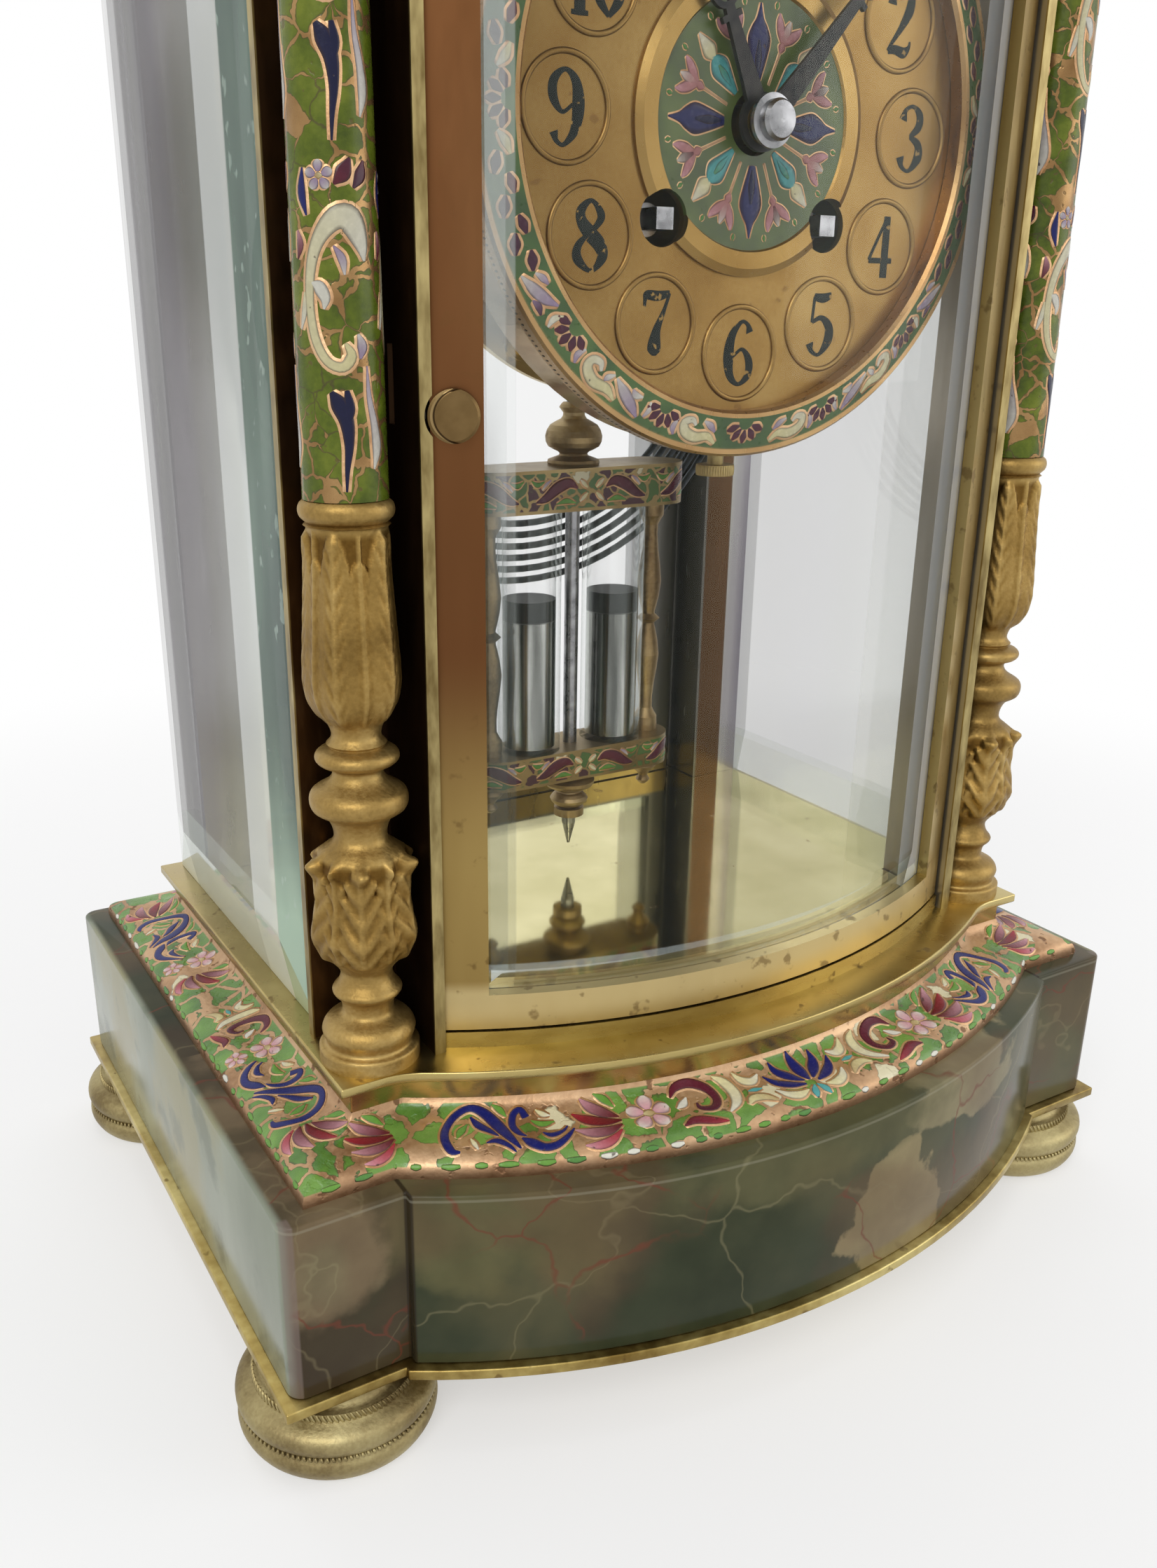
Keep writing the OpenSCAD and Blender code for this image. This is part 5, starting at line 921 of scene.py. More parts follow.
SHAFT = [
    ("navy", None, [(0.2, 0.6, 0.3), (0.4, 3.6, 0.7), (0.8, 7.0, 1.3), (0.6, 10.2, 2.0), (-0.4, 12.6, 2.3),
                    (-1.4, 14.2, 0.7)]),
    ("navy", None, [(0.8, 9.6, 0.5), (1.1, 12.0, 1.5), (0.8, 14.4, 0.7)]),
    ("cream", "white", [(0.9, 20.6, 0.5), (1.7, 19.0, 1.5), (0.4, 17.5, 1.4), (-1.8, 18.3, 1.3), (-3.5, 21.4, 1.4),
                        (-4.1, 26.0, 1.4), (-3.6, 30.6, 1.6), (-2.2, 34.0, 2.0), (0.2, 36.4, 2.9), (2.4, 36.2, 3.7),
                        (3.8, 33.6, 2.5), (4.3, 31.2, 0.5)]),
    ("white", None, [(-3.6, 28.4, 0.4), (-2.5, 27.8, 1.8), (-1.7, 26.4, 1.5), (-1.9, 25.0, 0.3)]),
    ("white", "cream", [(-5.9, 22.4, 0.3), (-5.2, 24.6, 1.0), (-4.9, 27.2, 0.3)]),
    ("lilac", "white", [(-0.2, 33.0, 0.3), (0.9, 31.4, 1.2), (1.2, 29.4, 0.3)]),
    ("white", "lilac", [(4.6, 3.6, 0.3), (5.3, 6.4, 1.7), (5.0, 9.6, 1.4), (4.2, 13.4, 0.9), (4.0, 17.6, 0.3)]),
    ("lilac", "white", [(3.0, 18.6, 0.4), (3.4, 20.2, 1.6), (2.8, 21.8, 0.4)]),
    ("maroon", "purple", [(0.2, 40.6, 0.4), (1.6, 42.0, 2.2), (2.6, 43.8, 0.4)]),
    ("purple", "maroon", [(3.0, 40.2, 0.4), (4.2, 41.8, 1.8), (4.8, 43.6, 0.4)]),
    ("burgundy", "pink", [(-6.0, 31.4, 0.3), (-5.4, 33.2, 1.3), (-5.8, 35.0, 0.3)]),
    ("cobalt", None, [(-4.0, 36.8, 0.3), (-4.7, 39.6, 1.4), (-4.4, 42.6, 0.3)]),
]


def shaft_work(end, x):
    """Sets the shaft's cells three times round and twice up, with a small flower over each."""
    work = Work(0.66)
    facing = math.radians(-112 if x < 0 else -68)
    pitch, storey = 12.6, 45.2

    def skin(s, z):
        r = SHAFT_R - 0.7 * z / SHAFT_H
        t = facing + s / 6.1
        return grid_of(x + r * np.cos(t), COLUMN_Y + r * np.sin(t), SHAFT_Z + z)

    place = surface(skin, (x, COLUMN_Y, SHAFT_Z + SHAFT_H / 2))
    for step in range(6):
        x0, z0 = pitch * (step // 2), storey * (step % 2)
        lay(work, place, SHAFT, lambda p, q, w: (p * 0.95 + x0, q + 1.0 + z0, w), 0.8)
        lay(work, place, flower(1.0, "lilac"),
            lambda p, q, w: (p * 0.55 + x0 - 1.8, q * 0.55 + 42.6 + z0, w * 0.55), 0.5)
    work.object("column_enamel_" + end, [wire, enamel], "case", "champleve", crease=60)


shaft_work("left", -COLUMN_X)
shaft_work("right", COLUMN_X)

# ---------------------------------------------------------------- doors
# Bow-fronted front door and flat rear door: brass stiles between brass rails, with a bevelled pane and a
# flat gilt knob that turns a latch. The upper part of the latch stile is painted copper brown, darker towards the
# top, as painted reflection and shade.
frame_brass = finish("door_frame_brass")
streak, fine = frame_brass.noise(24, 4, (1, 1, 0.15)), frame_brass.noise(480, 3, (1, 1, 0.3))
TOP_RAIL, LOW_RAIL = 0.2645, 0.0765
# Painted reflection and shade: the upper part of the left stile is painted copper brown, darker from the middle
# upwards.
stile_reflection_shade = frame_brass.band(frame_brass.at(2), 0.095, 0.135) * (frame_brass.at(0) < 0.0)
stile_reflection_shade = stile_reflection_shade * (frame_brass.at(2) < TOP_RAIL)
low = frame_brass.ramp(streak, (0.3, (0.25, 0.165, 0.052)), (0.55, (0.4, 0.285, 0.1)), (0.75, (0.54, 0.42, 0.18)))
high = frame_brass.ramp(streak, (0.3, (0.088, 0.034, 0.012)), (0.55, (0.15, 0.064, 0.024)),
                        (0.75, (0.235, 0.118, 0.048)))
# Painted highlight: a pale line along the top edge of the bottom rail.
low = frame_brass.mix(0.5 * frame_brass.band(frame_brass.at(2), LOW_RAIL, 0.0735), low, (0.74, 0.6, 0.31))
spots = frame_brass.band(frame_brass.noise(260, 3), 0.62, 0.7) * (1 - 0.7 * stile_reflection_shade)
colour = frame_brass.mix(0.55 * spots, frame_brass.mix(stile_reflection_shade, low, high), (0.11, 0.06, 0.02))
frame_brass.look({"Base Color": colour, "Metallic": 1.0, "Roughness": 0.22 + 0.2 * fine + 0.1 * spots})
frame_brass.bump(fine, 0.00005, 0.35)
dress(frame_brass, "front_door_frame")
rear_frame = finish("rear_door_frame_brass")
streak, fine = rear_frame.noise(26, 4, (1, 1, 0.1)), rear_frame.noise(420, 3, (1, 1, 0.2))
grey = rear_frame.ramp(streak, (0.3, (0.1, 0.095, 0.08)), (0.5, (0.2, 0.19, 0.165)), (0.72, (0.34, 0.33, 0.29)))
gold = rear_frame.ramp(rear_frame.noise(40, 4), (0.3, (0.26, 0.17, 0.05)), (0.7, (0.5, 0.37, 0.14)))
rails = rear_frame.band(abs(rear_frame.at(2) - CASE_MID), 0.0955, 0.0965)
# Painted light: the left half of the rear door frame is painted pale, as lit.
pale = rear_frame.ramp(streak, (0.3, (0.62, 0.64, 0.62)), (0.7, (0.82, 0.84, 0.82)))
grey = rear_frame.mix(rear_frame.at(0) < 0.0, grey, pale)
rear_frame.look({"Base Color": rear_frame.mix(rails, grey, gold), "Metallic": 1.0, "Roughness": 0.2 + 0.2 * fine})
rear_frame.bump(fine, 0.00005, 0.3)
dress(rear_frame, "rear_door_frame")
knob_gilt = gilding("knob_gilt", (0.2, 0.13, 0.045), (0.34, 0.25, 0.1), (0.5, 0.4, 0.18), False)
dress(knob_gilt, "thumb_screw")
knob_face = finish("knob_worn_gilt")
KNOB_X, KNOB_LINE = 0.0551, 0.0039
x, z, fine = abs(knob_face.at(0)) - KNOB_X, knob_face.at(2) - CASE_MID, knob_face.noise(600, 3)
radius = (x * x + z * z) ** 0.5
worn = knob_face.ramp(knob_face.noise(160, 4), (0.3, (0.1, 0.06, 0.022)), (0.7, (0.19, 0.122, 0.05)))
colour = knob_face.mix(knob_face.band(radius, KNOB_LINE, 0.0041), worn, (0.26, 0.18, 0.08))
colour = knob_face.mix(knob_face.band(abs(radius - KNOB_LINE), 0.00016, 0.00008), colour, (0.04, 0.024, 0.01))
knob_face.look({"Base Color": colour, "Metallic": 1.0, "Roughness": 0.26 + 0.22 * fine})
knob_face.bump(fine - 2 * knob_face.band(abs(radius - KNOB_LINE), 0.0002, 0.0), 0.00006, 0.5)
dress(knob_face, "front_door_knob", "rear_door_knob")


def door_zones(made):
    """The same for the bevels of a door's pane: painted light on the side bevels and painted highlights on the
    ends.
    """
    x, z = made.at(0), made.at(2)
    streaks = made.noise(45, 3, (1, 1, 0.15))
    # Painted light: pale streaks on the left bevel and a soft pale strip on the right one; painted highlights on
    # the top and bottom bevels.
    left, right = made.band(x, -0.0462, -0.0465), made.band(x, 0.0445, 0.0448)
    ends = made.band(abs(z - CASE_MID), 0.0915, 0.0918)
    return ((left, made.mix(made.band(streaks, 0.4, 0.6), (0.12, 0.14, 0.13), (0.7, 0.74, 0.72)), 0.22, 0),
            (right, made.mix(streaks, (0.5, 0.52, 0.54), (0.78, 0.8, 0.82)), 0.5, 0.7),
            (ends, (0.72, 0.78, 0.76), 0.25, 0))


door_glass = glazing("door_glass", 0.03, (0.25, 0.27, 0.25), door_zones)
dress(door_glass, "front_door_pane", "rear_door_pane")

# ---------------------------------------------------------------- dial
# Gilt dial plate with twelve raised rings, the hours painted in black inside them. In the middle a
# champleve disc lies in a raised ring, and round the whole runs a sloping enamelled bezel.
DIAL_Y, DIAL_Z, HOUR_R, BEZEL_R = -47.0, 211.0, 34.2, 47.0
dial_gold = finish("dial_gold")
cloud, fine = dial_gold.noise(42, 4), dial_gold.noise(1500, 2)
colour = dial_gold.ramp(cloud + 0.25 * (fine - 0.5), (0.3, (0.175, 0.096, 0.026)), (0.52, (0.255, 0.152, 0.046)),
                        (0.75, (0.355, 0.238, 0.086)))
# Painted shade: the dial plate is painted darker towards the upper left.
dial_shade_slope = dial_gold.at(0) - 0.4 * (dial_gold.at(2) - DIAL_Z * MM)
colour = dial_gold.mix(0.42 * dial_gold.band(dial_shade_slope, 0.012, -0.05), colour, (0.09, 0.045, 0.01))
spots = dial_gold.band(dial_gold.noise(330, 2), 0.71, 0.76)
dial_gold.look({"Base Color": dial_gold.mix(0.5 * spots, colour, (0.12, 0.06, 0.02)), "Metallic": 0.95,
                "Roughness": 0.3 + 0.16 * fine})
dial_gold.bump(fine, 0.00004, 0.35)
dress(dial_gold, "dial_plate")

DIGITS = {
    "0": [[(3, 0.2, 0.5), (0.9, 2.4, 1.3), (0.7, 5, 1.6), (0.9, 7.6, 1.3), (3, 9.8, 0.5), (5.1, 7.6, 1.3),
           (5.3, 5, 1.6), (5.1, 2.4, 1.3), (3, 0.2, 0.5)]],
    "1": [[(3.2, 0.2, 1.5), (3.2, 5, 1.5), (3.2, 9.7, 1.4)], [(3.2, 9.4, 0.5), (2.2, 8.6, 0.5), (1.2, 8.2, 0.35)],
          [(1.4, 0.25, 0.5), (3.2, 0.25, 0.6), (5, 0.25, 0.5)]],
    "2": [[(1.0, 7.2, 1.6), (1.3, 8.9, 0.7), (3.2, 9.8, 0.5), (5.0, 8.6, 1.2), (4.9, 6.6, 1.5), (3.3, 4.0, 0.9),
           (1.4, 1.6, 0.5), (0.8, 0.6, 0.6)],
          [(0.8, 0.7, 0.9), (2.4, 0.9, 1.1), (4.2, 0.6, 1.3), (5.3, 1.4, 0.6), (5.5, 2.3, 0.3)]],
    "3": [[(1.0, 7.7, 1.5), (1.5, 9.2, 0.6), (3.1, 9.8, 0.5), (4.7, 8.6, 1.2), (4.6, 6.8, 1.2), (2.8, 5.3, 0.5)],
          [(2.8, 5.3, 0.5), (4.8, 4.2, 1.2), (5.0, 2.2, 1.5), (3.2, 0.2, 0.5), (1.5, 0.8, 0.7), (1.0, 2.2, 1.5)]],
    "4": [[(4.0, 0.2, 1.3), (4.0, 5, 1.3), (4.0, 9.8, 1.2)], [(4.0, 9.7, 0.5), (2.2, 6.4, 0.5), (0.4, 3.0, 0.5)],
          [(0.4, 2.9, 0.7), (3, 2.9, 0.7), (5.7, 2.9, 0.7)]],
    "5": [[(1.4, 9.3, 0.9), (3.4, 9.1, 1.2), (5.2, 9.6, 0.8)], [(1.5, 9.3, 0.5), (1.35, 7.2, 0.5), (1.2, 5.3, 0.5)],
          [(1.2, 5.3, 0.5), (3.2, 6.0, 0.7), (5.0, 4.6, 1.4), (5.0, 2.4, 1.5), (3.2, 0.2, 0.5), (1.5, 0.8, 0.7),
           (1.0, 2.0, 1.4)]],
    "6": [[(5.0, 8.2, 1.2), (4.5, 9.4, 0.6), (3.2, 9.8, 0.5), (1.4, 7.8, 1.2), (0.8, 4.6, 1.7), (1.3, 1.6, 1.2),
           (3.1, 0.2, 0.5), (5.0, 1.6, 1.1), (5.1, 3.8, 1.2), (3.6, 5.6, 0.5), (1.8, 4.6, 0.4)]],
    "7": [[(0.8, 7.2, 0.35), (0.9, 8.6, 0.6), (1.3, 9.2, 1.1), (3.4, 9.1, 1.2), (5.6, 9.5, 0.7)],
          [(5.6, 9.5, 0.4), (4.5, 6.8, 0.6), (3.3, 4.2, 1.2), (2.9, 2.0, 2.0), (2.9, 1.0, 1.9), (2.9, 0.3, 0.6)]],
    "8": [[(3.1, 5.2, 1.9), (4.7, 3.8, 1.8), (5.2, 2.1, 1.4), (3.2, 0.2, 0.5), (0.8, 1.8, 1.3), (0.9, 3.6, 1.0),
           (2.6, 5.2, 0.5), (4.3, 6.6, 0.8), (4.9, 8.0, 1.1), (3.2, 9.8, 0.5), (1.4, 8.5, 1.2), (1.5, 6.9, 1.5),
           (3.1, 5.2, 1.9)]],
}
DIGITS["9"] = [[(6 - x, 10 - y, w) for x, y, w in line] for line in DIGITS["6"]]
black = finish("numeral_paint")
chips = black.band(black.noise(750, 3), 0.62, 0.68)
paint = black.mix(black.noise(300, 2), (0.006, 0.008, 0.007), (0.02, 0.024, 0.02))
black.look({"Base Color": black.mix(0.75 * chips, paint, (0.36, 0.22, 0.06)),
            "Roughness": 0.4 + 0.2 * black.noise(500, 2), "Specular IOR Level": 0.15})
black.bump(black.noise(900, 2), 0.00004, 0.4)


def front(y):
    return surface(lambda s, a: grid_of(s, y, DIAL_Z + a), (0, 300, DIAL_Z))


work = Work()
for hour in range(1, 13):
    angle, text = math.radians(30 * hour), str(hour)
    narrow, z0 = 1.0 if len(text) == 1 else 0.8, HOUR_R * math.cos(angle)
    for k, digit in enumerate(text):
        x0 = HOUR_R * math.sin(angle) + narrow * (6.4 * (k - (len(text) - 1) / 2) - 3)
        for line in DIGITS[digit]:
            spots = [(x0 + narrow * x, z0 + 1.02 * (y - 5), w * 1.4 + 0.06) for x, y, w in line]
            cell(work, front(DIAL_Y), spots, "dark", edge=0.05, steps=7, lift=-0.03, finish=0)
work.object("dial_hours", [black], "case", "hand_steel", crease=60)

disc = finish("dial_disc")
x, z = disc.at(0), disc.at(2) - DIAL_Z * MM
radius = (x * x + z * z) ** 0.5
patch, fine = disc.noise(150, 4), disc.noise(1100, 3)
leafy = disc.ramp(patch, (0.3, (0.034, 0.05, 0.01)), (0.55, (0.06, 0.086, 0.018)), (0.75, (0.09, 0.12, 0.028)))
metal = disc.ramp(disc.noise(45, 4), (0.3, (0.2, 0.112, 0.028)), (0.7, (0.36, 0.235, 0.08)))
ring = disc.band(radius, 0.01835, 0.01845)
disc.look({"Base Color": disc.mix(ring, leafy, metal), "Metallic": 0.95 * ring, "Roughness": 0.22 + 0.18 * fine})
disc.bump(fine, 0.00006, 0.4)
dress(disc, "dial_centre")

work, place = Work(0.62), front(DIAL_Y - 0.8)


def ray(turn, line, first, last=None, wall=0.45, lift=0.03):
    """A cell drawn outward from the dial's centre at a clock angle."""
    c, s = math.cos(turn), math.sin(turn)
    lay(work, place, [(first, last, line)], lambda r, q, w: (r * s + q * c, r * c - q * s, w), wall, lift)


for k in range(8):
    turn = math.pi / 4 * k
    if k % 2 == 0:
        ray(turn, [(6.0, 0, 1.2), (9.0, 0, 3.2), (11.6, 0, 4.4), (13.4, 0, 3.0), (14.6, 0, 1.4), (16.6, 0, 0.3)],
            "indigo")
        ray(turn, [(6.6, 0, 0.4), (9.0, 0, 1.3), (11.6, 0, 0.4)], "navy", None, 0.35, 0.08)
    else:
        ray(turn, [(5.6, 0, 0.8), (8.0, 0, 2.4), (10.2, 0, 3.6), (11.6, 0, 2.2), (12.2, 0, 0.4)], "turquoise")
        ray(turn, [(7.0, 0, 0.3), (9.0, 0, 1.2), (10.6, 0, 0.4)], "turquoise", "leaf", 0.4, 0.08)
        ray(turn, [(11.6, 0, 0.6), (13.0, 0, 2.6), (14.4, 0, 1.9), (16.2, 0, 0.3)], "cream", "white")
    mid = turn + math.pi / 8
    ray(mid, [(6.0, 0, 0.3), (9.0, 0, 0.3), (11.2, 0, 0.4)], "copper", None, 0.2)
    ray(mid, [(11.0, 0, 0.5), (11.8, 0, 1.4), (12.6, 0, 0.5)], "rose", None, 0.35)
    for q in (-1, 0, 1):
        ray(mid, [(12.4, 0.3 * q, 0.6), (13.6, 1.0 * q, 1.6), (14.8, 1.9 * q, 1.3), (15.8, 2.4 * q, 0.3)],
            "burgundy" if q == 0 and k % 2 else "rose", "white" if q == 0 else "pink", 0.35)
    for side in (-0.19, 0.19):
        ray(turn + side, [(16.3, 0, 0.3), (16.8, 0, 0.7), (17.3, 0, 0.3)], "leaf", None, 0.3)
work.object("dial_disc_enamel", [wire, enamel], "case", "champleve", crease=60)

bezel = finish("bezel_enamel_and_gilt")
x, y, z = bezel.at(0), bezel.at(1), bezel.at(2) - DIAL_Z * MM
radius = (x * x + z * z) ** 0.5
patch, fine = bezel.noise(140, 4), bezel.noise(1000, 3)
leafy = bezel.ramp(patch, (0.3, (0.026, 0.062, 0.013)), (0.55, (0.05, 0.105, 0.021)), (0.75, (0.085, 0.15, 0.034)))
metal = bezel.ramp(bezel.noise(50, 4), (0.3, (0.29, 0.16, 0.06)), (0.7, (0.5, 0.33, 0.15)))
FIELD_R = 0.04695
field = bezel.band(abs(radius - FIELD_R), 0.00262, 0.00255) * bezel.band(y, -0.0395, -0.0397)
bezel.look({"Base Color": bezel.mix(field, metal, leafy), "Metallic": 0.95 - 0.95 * field,
            "Roughness": 0.2 + 0.2 * fine})
bezel.bump(fine, 0.00006, 0.4)
dress(bezel, "bezel")


def bezel_face(s, a):
    out = np.asarray(a) / 5.34
    r = 44.4 + 5.1 * out
    t = np.asarray(s) / BEZEL_R
    return grid_of(-r * np.sin(t), DIAL_Y - 3.2 + 1.6 * out, DIAL_Z - r * np.cos(t))


def fan(middle, reach=1.0):
    """Five purple seeds spread like a shell."""
    rays = [(math.sin(a), math.cos(a)) for a in (-1.15, -0.58, 0, 0.58, 1.15)]
    seed = ((1.5, 0.35), (2.9, 1.05), (4.1, 0.35))
    return [("purple", "maroon", [(middle + u * d * reach, 0.5 + u * c, w) for u, w in seed]) for d, c in rays]


BEZEL = [
    ("cream", "white", [(5.6, 4.8, 0.4), (7.4, 3.6, 1.1), (9.8, 4.2, 1.4), (12.0, 3.6, 1.4), (12.8, 2.0, 1.2),
                        (11.4, 1.2, 0.9), (10.4, 2.0, 0.4)]),
    ("lilac", "white", [(6.2, 2.6, 0.3), (7.4, 1.6, 1.0), (9.0, 0.9, 0.3)]),
    *fan(17.4, 0.9),
    ("lilac", "white", [(21.6, 4.8, 0.3), (23.4, 3.6, 1.3), (25.8, 2.4, 1.4), (28.4, 1.2, 0.3)]),
    ("white", "lilac", [(22.4, 1.2, 0.3), (23.8, 1.6, 1.0), (24.8, 1.0, 0.3)]),
    ("cream", "white", [(26.6, 4.6, 0.3), (28.8, 3.8, 1.2), (31.4, 4.4, 1.4), (33.6, 3.4, 1.3), (33.8, 1.8, 1.1),
                        (32.4, 1.2, 0.9), (31.4, 2.2, 0.4)]),
    *fan(39.4, 0.9),
    ("lilac", "white", [(44.0, 1.2, 0.3), (46.0, 2.6, 1.3), (48.2, 3.6, 1.3), (50.6, 4.6, 0.3)]),
    ("purple", "lilac", [(44.4, 4.6, 0.3), (45.6, 4.2, 0.9), (46.8, 4.6, 0.3)]),
    ("purple", None, [(50.4, 2.4, 0.4), (51.8, 1.8, 1.2), (53.2, 1.4, 0.4)]),
    ("purple", None, [(53.4, 4.2, 0.4), (54.8, 3.6, 1.3), (56.2, 3.0, 0.4)]),
    ("purple", None, [(55.6, 1.2, 0.4), (57.0, 1.3, 1.1), (58.4, 1.6, 0.4)]),
    ("purple", None, [(58.6, 4.2, 0.4), (60.0, 3.6, 1.3), (61.4, 3.0, 0.4)]),
    ("maroon", None, [(61.4, 1.4, 0.4), (62.8, 1.5, 1.1), (64.2, 1.8, 0.4)]),
    ("purple", None, [(64.4, 4.2, 0.4), (65.8, 3.6, 1.2), (67.2, 3.0, 0.4)]),
    ("cream", "white", [(66.6, 1.0, 0.3), (68.4, 1.6, 1.1), (69.8, 2.8, 0.3)]),
    ("lilac", "white", [(14.0, 4.8, 0.3), (14.6, 3.4, 0.9), (14.2, 1.8, 0.3)]),
    ("white", "lilac", [(20.6, 1.2, 0.3), (20.2, 2.6, 0.8), (20.6, 4.2, 0.3)]),
    ("lilac", "white", [(35.6, 4.6, 0.3), (36.2, 3.2, 0.9), (35.8, 1.6, 0.3)]),
    ("white", "cream", [(42.4, 4.6, 0.3), (42.8, 3.0, 0.9), (42.2, 1.4, 0.3)]),
    ("white", "lilac", [(29.0, 1.0, 0.3), (29.8, 2.2, 0.9), (30.0, 3.0, 0.3)]),
    ("lilac", "white", [(47.6, 1.0, 0.3), (48.8, 1.4, 0.9), (50.0, 2.2, 0.3)]),
]
work, place = Work(0.74), surface(bezel_face, (0, 300, DIAL_Z))
for quarter in range(4):
    way, lap = 1 if quarter % 2 == 0 else -1, BEZEL_R * math.pi / 2
    start = lap * (quarter if way > 0 else quarter + 1)
    mirrored = [(first, last, [(start + way * p, q, w) for p, q, w in line]) for first, last, line in BEZEL]
    lay(work, place, mirrored + fan(lap * quarter), lambda p, q, w: (p, 0.25 + 0.88 * q, 1.35 * w), 0.75, 0.03)
work.object("bezel_enamel", [wire, enamel], "case", "champleve", crease=60)

# Painted shade: the milled teeth round the bezel are painted near black for the shade in their grooves.
groove_shade = finish("bezel_milling")
groove_shade.look({"Base Color": groove_shade.ramp(groove_shade.noise(500, 2), (0.3, (0.02, 0.011, 0.005)),
                                             (0.7, (0.13, 0.075, 0.03))),
                "Metallic": 0.8, "Roughness": 0.4 + 0.2 * groove_shade.noise(900, 2)})
milling = bead_ring("bezel_milling", 330, 50.62, (0.14, 0.27, 0.55), 0.0, groove_shade)
milling = moved(milling, (0, DIAL_Y + 0.6, DIAL_Z), Matrix.Rotation(math.pi / 2, 4, "X"))
stand("bezel_milled_edge", milling, [groove_shade], "case", "gilt")
SCREW_Z = 157.5
screw_y = sum(corner[1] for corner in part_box("thumb_screw")) / 2 / MM - CASE_Y
knurl = bead_ring("screw_knurling", 44, 3.2, (0.16, 0.19, 0.95), 0.0, knob_gilt)
stand("screw_knurled_head", moved(knurl, (0, screw_y, SCREW_Z)), [knob_gilt], "case", "gilt")

drum_brass = brassing("drum_brass", (0.3, 0.18, 0.085), (0.56, 0.4, 0.23), (0.78, 0.64, 0.44), 0.1, (1, 0.3, 1))
dress(drum_brass, "drum", "movement_brackets")

# ---------------------------------------------------------------- hands
# Hour and minute hand, pierced from blackened steel sheet, on their pipes under a domed steel nut.
hand_black = finish("hand_blacked_steel")
fine = hand_black.noise(600, 3)
hand_black.look({"Base Color": hand_black.ramp(fine, (0.3, (0.006, 0.006, 0.007)), (0.75, (0.04, 0.036, 0.032))),
                 "Metallic": 0.3, "Roughness": 0.3 + 0.2 * fine, "Specular IOR Level": 0.3})
hand_black.bump(fine, 0.00003, 0.3)
dress(hand_black, "hour_hand", "minute_hand")
steel = finish("polished_steel")
fine = steel.noise(380, 4)
steel.look({"Base Color": steel.ramp(fine, (0.3, (0.17, 0.17, 0.175)), (0.7, (0.44, 0.44, 0.45))), "Metallic": 1.0,
            "Roughness": 0.18 + 0.22 * fine})
steel.bump(fine, 0.00004, 0.3)
dress(steel, "hand_nut", "going_arbor", "strike_arbor", "anchor", "suspension_spring", "pendulum_rod", "hammer")

# ---------------------------------------------------------------- movement
# Round brass plates on four pillars with two barrels and the trains between them, grained and lacquered;
# the wheels are crossed out and cut on an engine.
plate_brass = brassing("plate_brass", (0.3, 0.2, 0.06), (0.5, 0.37, 0.13), (0.66, 0.53, 0.23), 0.26, (0.25, 1, 1))
dress(plate_brass, "front_plate", "back_plate", "plate_pillars", "back_cock", "gong_block")
wheel_brass = brassing("wheel_brass", (0.34, 0.22, 0.06), (0.56, 0.41, 0.14), (0.72, 0.58, 0.26), 0.2)
dress(wheel_brass, "going_barrel", "strike_barrel", "second_wheel", "strike_wheel", "centre_wheel", "third_wheel",
      "escape_wheel", "minute_wheel", "hour_wheel")

# ---------------------------------------------------------------- pendulum
# Two glass jars of mercury between enamelled bars, joined by turned colonnettes and hung on a steel rod
# from a spring; the milled nut under the bob sets the rate.
PEND_Y, BAR_MOTIF = 5.0, 13.4
BARS = ((24.2, 6.7, 88.3, 6.7), (25.6, 7.3, 145.6, 8.4))  # half length, half depth, foot and height
jar_glass = finish("jar_glass")
facing = jar_glass.node("LayerWeight", {}, {"Blend": 0.35}, "Facing")
tone = jar_glass.mix(jar_glass.noise(90, 2, (1, 1, 0.1)), (0.52, 0.58, 0.54), (0.75, 0.8, 0.77))
cords = jar_glass.noise(240, 2, (1, 1, 0.04))
jar_glass.look({"Base Color": tone, "Metallic": 1.0, "Roughness": 0.04 + 0.03 * jar_glass.noise(200, 2),
                "Alpha": 0.1 * cords + 0.75 * facing ** 2.2})
dress(jar_glass, "pendulum_jars")
quicksilver = finish("quicksilver")
ripple = quicksilver.noise(330, 2, (1, 1, 0.06))
tone = quicksilver.ramp(ripple, (0.35, (0.085, 0.086, 0.076)), (0.5, (0.27, 0.272, 0.25)),
                        (0.64, (0.62, 0.63, 0.59)))
FILL_Z = 0.1228
cap = quicksilver.band(quicksilver.at(2), FILL_Z, 0.1234)
quicksilver.look({"Base Color": quicksilver.mix(cap, tone, (0.012, 0.012, 0.011)), "Metallic": 1.0 - 0.6 * cap,
                  "Roughness": 0.14 + 0.1 * ripple + 0.2 * cap})
dress(quicksilver, "mercury")
turned_gilt = gilding("pendulum_gilt", (0.17, 0.105, 0.045), (0.33, 0.23, 0.105), (0.5, 0.38, 0.19), False)
dress(turned_gilt, "pendulum_turnings", "rating_nut")
bar_gilt = finish("pendulum_bar_champleve")
cloud, fine = bar_gilt.noise(70, 4), bar_gilt.noise(900, 3)
metal = bar_gilt.ramp(cloud, (0.3, (0.2, 0.135, 0.055)), (0.7, (0.4, 0.3, 0.14)))
colour, glass = cloisons(bar_gilt, 300, 0.07, metal, (0.56, (0.075, 0.15, 0.034)), (0.3, (0.06, 0.01, 0.02)),
                         (0.05, (0.7, 0.65, 0.45)))
low, high = (abs(bar_gilt.at(2) - (foot + tall / 2) * MM) for _, _, foot, tall in BARS)
rim = bar_gilt.band(low, 0.0028, 0.0027) + bar_gilt.band(high, 0.0036, 0.0035)
bar_gilt.look({"Base Color": bar_gilt.mix(rim, metal, colour), "Metallic": 0.9 - 0.9 * glass * rim,
               "Roughness": 0.3 + 0.2 * fine})
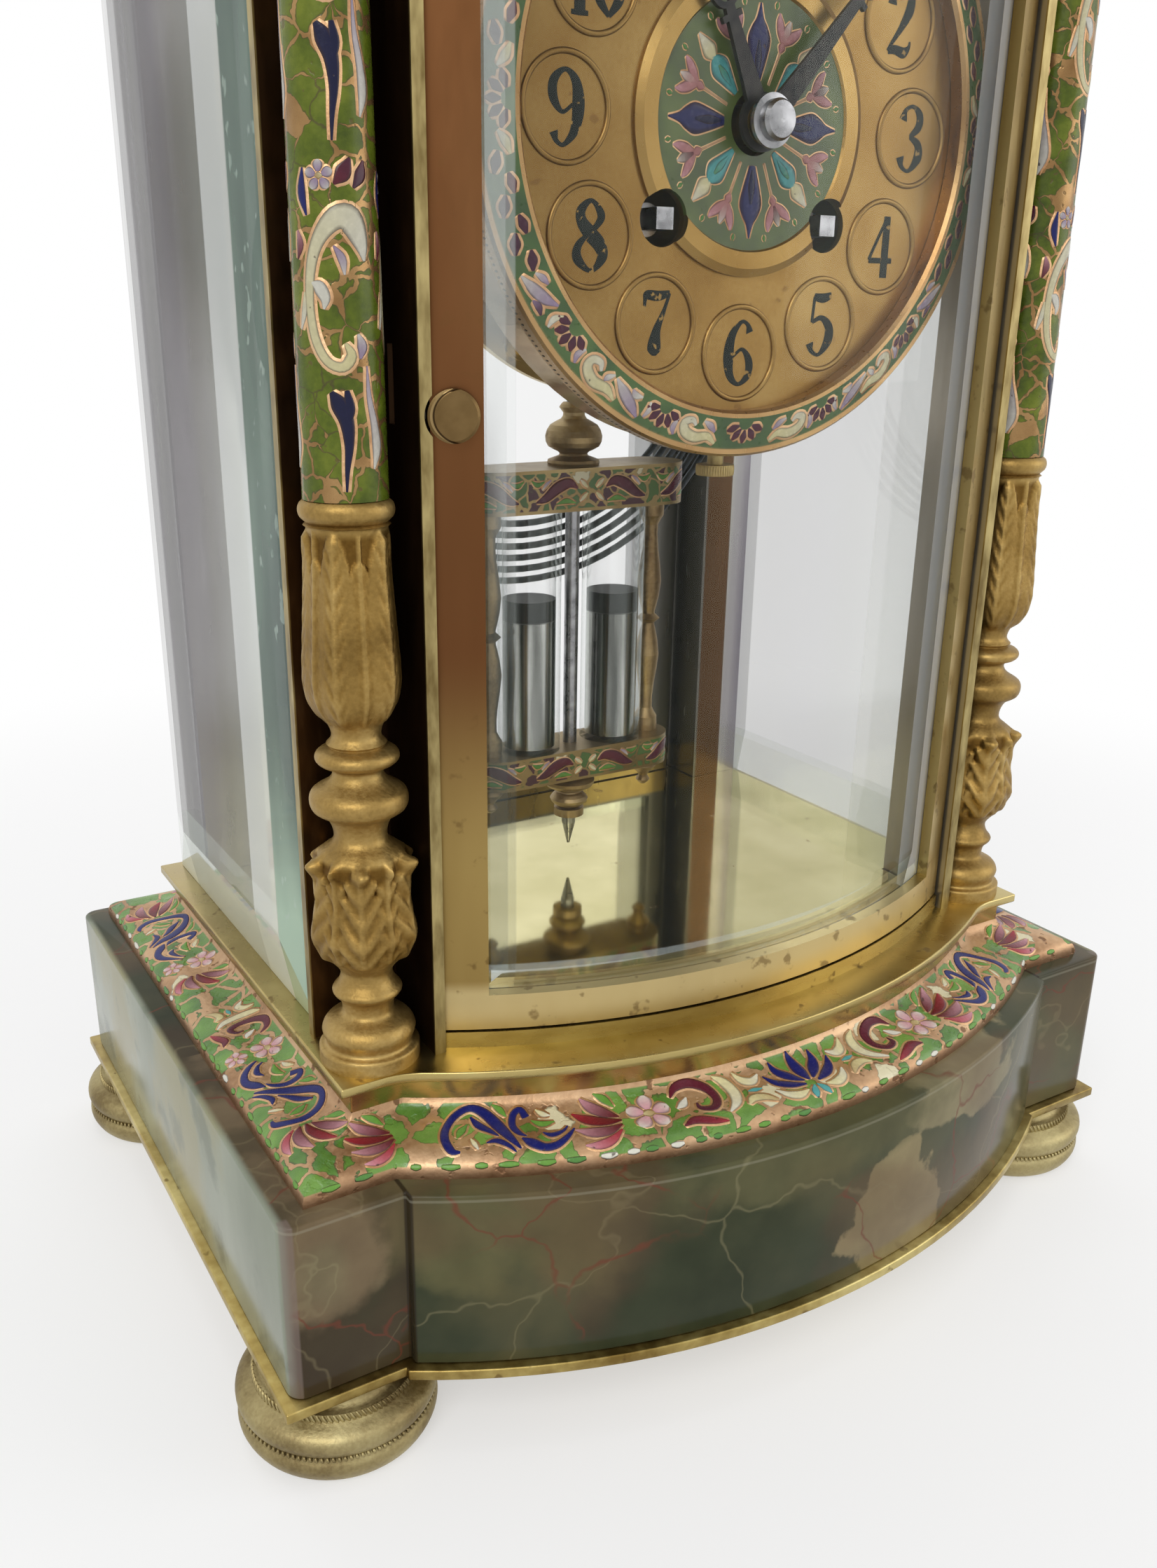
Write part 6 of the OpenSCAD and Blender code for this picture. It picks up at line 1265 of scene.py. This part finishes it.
bar_gilt.bump(fine, 0.00006, 0.4)
dress(bar_gilt, "pendulum_plates")

BAR = [
    ("cream", "white", [(0.9, 3.4, 0.4), (1.7, 4.0, 1.0), (2.5, 4.6, 0.3)]),
    ("cream", "white", [(0.9, 2.6, 0.4), (1.7, 2.0, 1.0), (2.5, 1.4, 0.3)]),
    ("maroon", "purple", [(3.0, 3.4, 0.4), (4.8, 4.2, 2.0), (7.2, 3.6, 2.5), (9.6, 2.2, 1.8), (11.6, 1.6, 0.4)]),
    ("green", "leaf", [(3.4, 1.2, 0.3), (5.4, 1.6, 1.2), (7.4, 1.2, 0.3)]),
    ("leaf", "green", [(10.0, 4.6, 0.3), (11.4, 4.2, 1.1), (12.6, 4.8, 0.3)]),
    ("lilac", "white", [(8.6, 4.8, 0.3), (9.6, 4.2, 0.8), (10.4, 3.4, 0.3)]),
]


def bar_edge(flat, deep, low):
    """Runs round the upright edge of a bar with two straight sides and round ends."""
    arc = math.pi * deep

    def position(s, a):
        s = (np.asarray(s) + flat) % (4 * flat + 2 * arc)
        t1, t2 = (s - 2 * flat) / deep, (s - 4 * flat - arc) / deep
        sides = [s < 2 * flat, s < 2 * flat + arc, s < 4 * flat + arc]
        x = np.select(sides, [s - flat, flat + deep * np.sin(t1), 3 * flat + arc - s], -flat - deep * np.sin(t2))
        y = np.select(sides, [0 * s - deep, -deep * np.cos(t1), 0 * s + deep], deep * np.cos(t2))
        return grid_of(x, PEND_Y + y, low + np.asarray(a))

    return position


work = Work()
for half_len, deep, low, high in BARS:
    flat, scale = half_len - deep, high / 6.4
    place = surface(bar_edge(flat, deep, low), (0, PEND_Y, low + high / 2))
    eighth = (4 * flat + 2 * math.pi * deep) / 8
    for k in range(8):
        way = 1 if k % 2 == 0 else -1
        start = eighth * (k if way > 0 else k + 1)
        lay(work, place, BAR, lambda p, q, w: (start + way * p * eighth / BAR_MOTIF, q * scale + 0.15, w * 0.95),
            0.5, 0.03)
work.object("pendulum_bar_enamel", [wire, enamel], "pendulum", "champleve", crease=60)

# ---------------------------------------------------------------- gong
# One length of blued steel wire, wound into a flat spiral and hung by its inner end from a block
# on the back plate, so that it rings freely.
gong_steel = finish("gong_blued_steel")
fine = gong_steel.noise(260, 3)
gong_steel.look({"Base Color": gong_steel.ramp(fine, (0.3, (0.015, 0.018, 0.022)), (0.7, (0.07, 0.08, 0.09))),
                 "Metallic": 0.9, "Roughness": 0.26 + 0.2 * fine})
gong_steel.bump(fine, 0.00004, 0.3)


def wound(add, link, given):
    spiral, section = add("GeometryNodeCurveSpiral"), add("GeometryNodeCurvePrimitiveCircle")
    tube = add("GeometryNodeCurveToMesh")
    spiral.inputs["Resolution"].default_value, spiral.inputs["Height"].default_value = 84, 0.0
    spiral.inputs["Reverse"].default_value = True
    section.inputs["Resolution"].default_value, tube.inputs["Fill Caps"].default_value = 12, True
    link((given, "Turns", spiral, "Rotations"), (given, "Inner", spiral, "Start Radius"),
         (given, "Outer", spiral, "End Radius"), (given, "Wire", section, "Radius"),
         (spiral, "Curve", tube, "Curve"), (section, "Curve", tube, "Profile Curve"))
    return tube


GONG_AT = (0, 26.0, 185.0)
sizes = {"Turns": 6.0, "Inner": 0.044, "Outer": 0.059, "Wire": 0.00075}
coil = grown("gong_coil", {key: ("Float", value) for key, value in sizes.items()}, wound, gong_steel)
spin = Matrix.Rotation(math.pi / 2, 4, "X") @ Matrix.Rotation(math.radians(30), 4, "Z")
stand("gong_wire", moved(coil, GONG_AT, spin), [gong_steel], "case", "gong_steel", "gong")
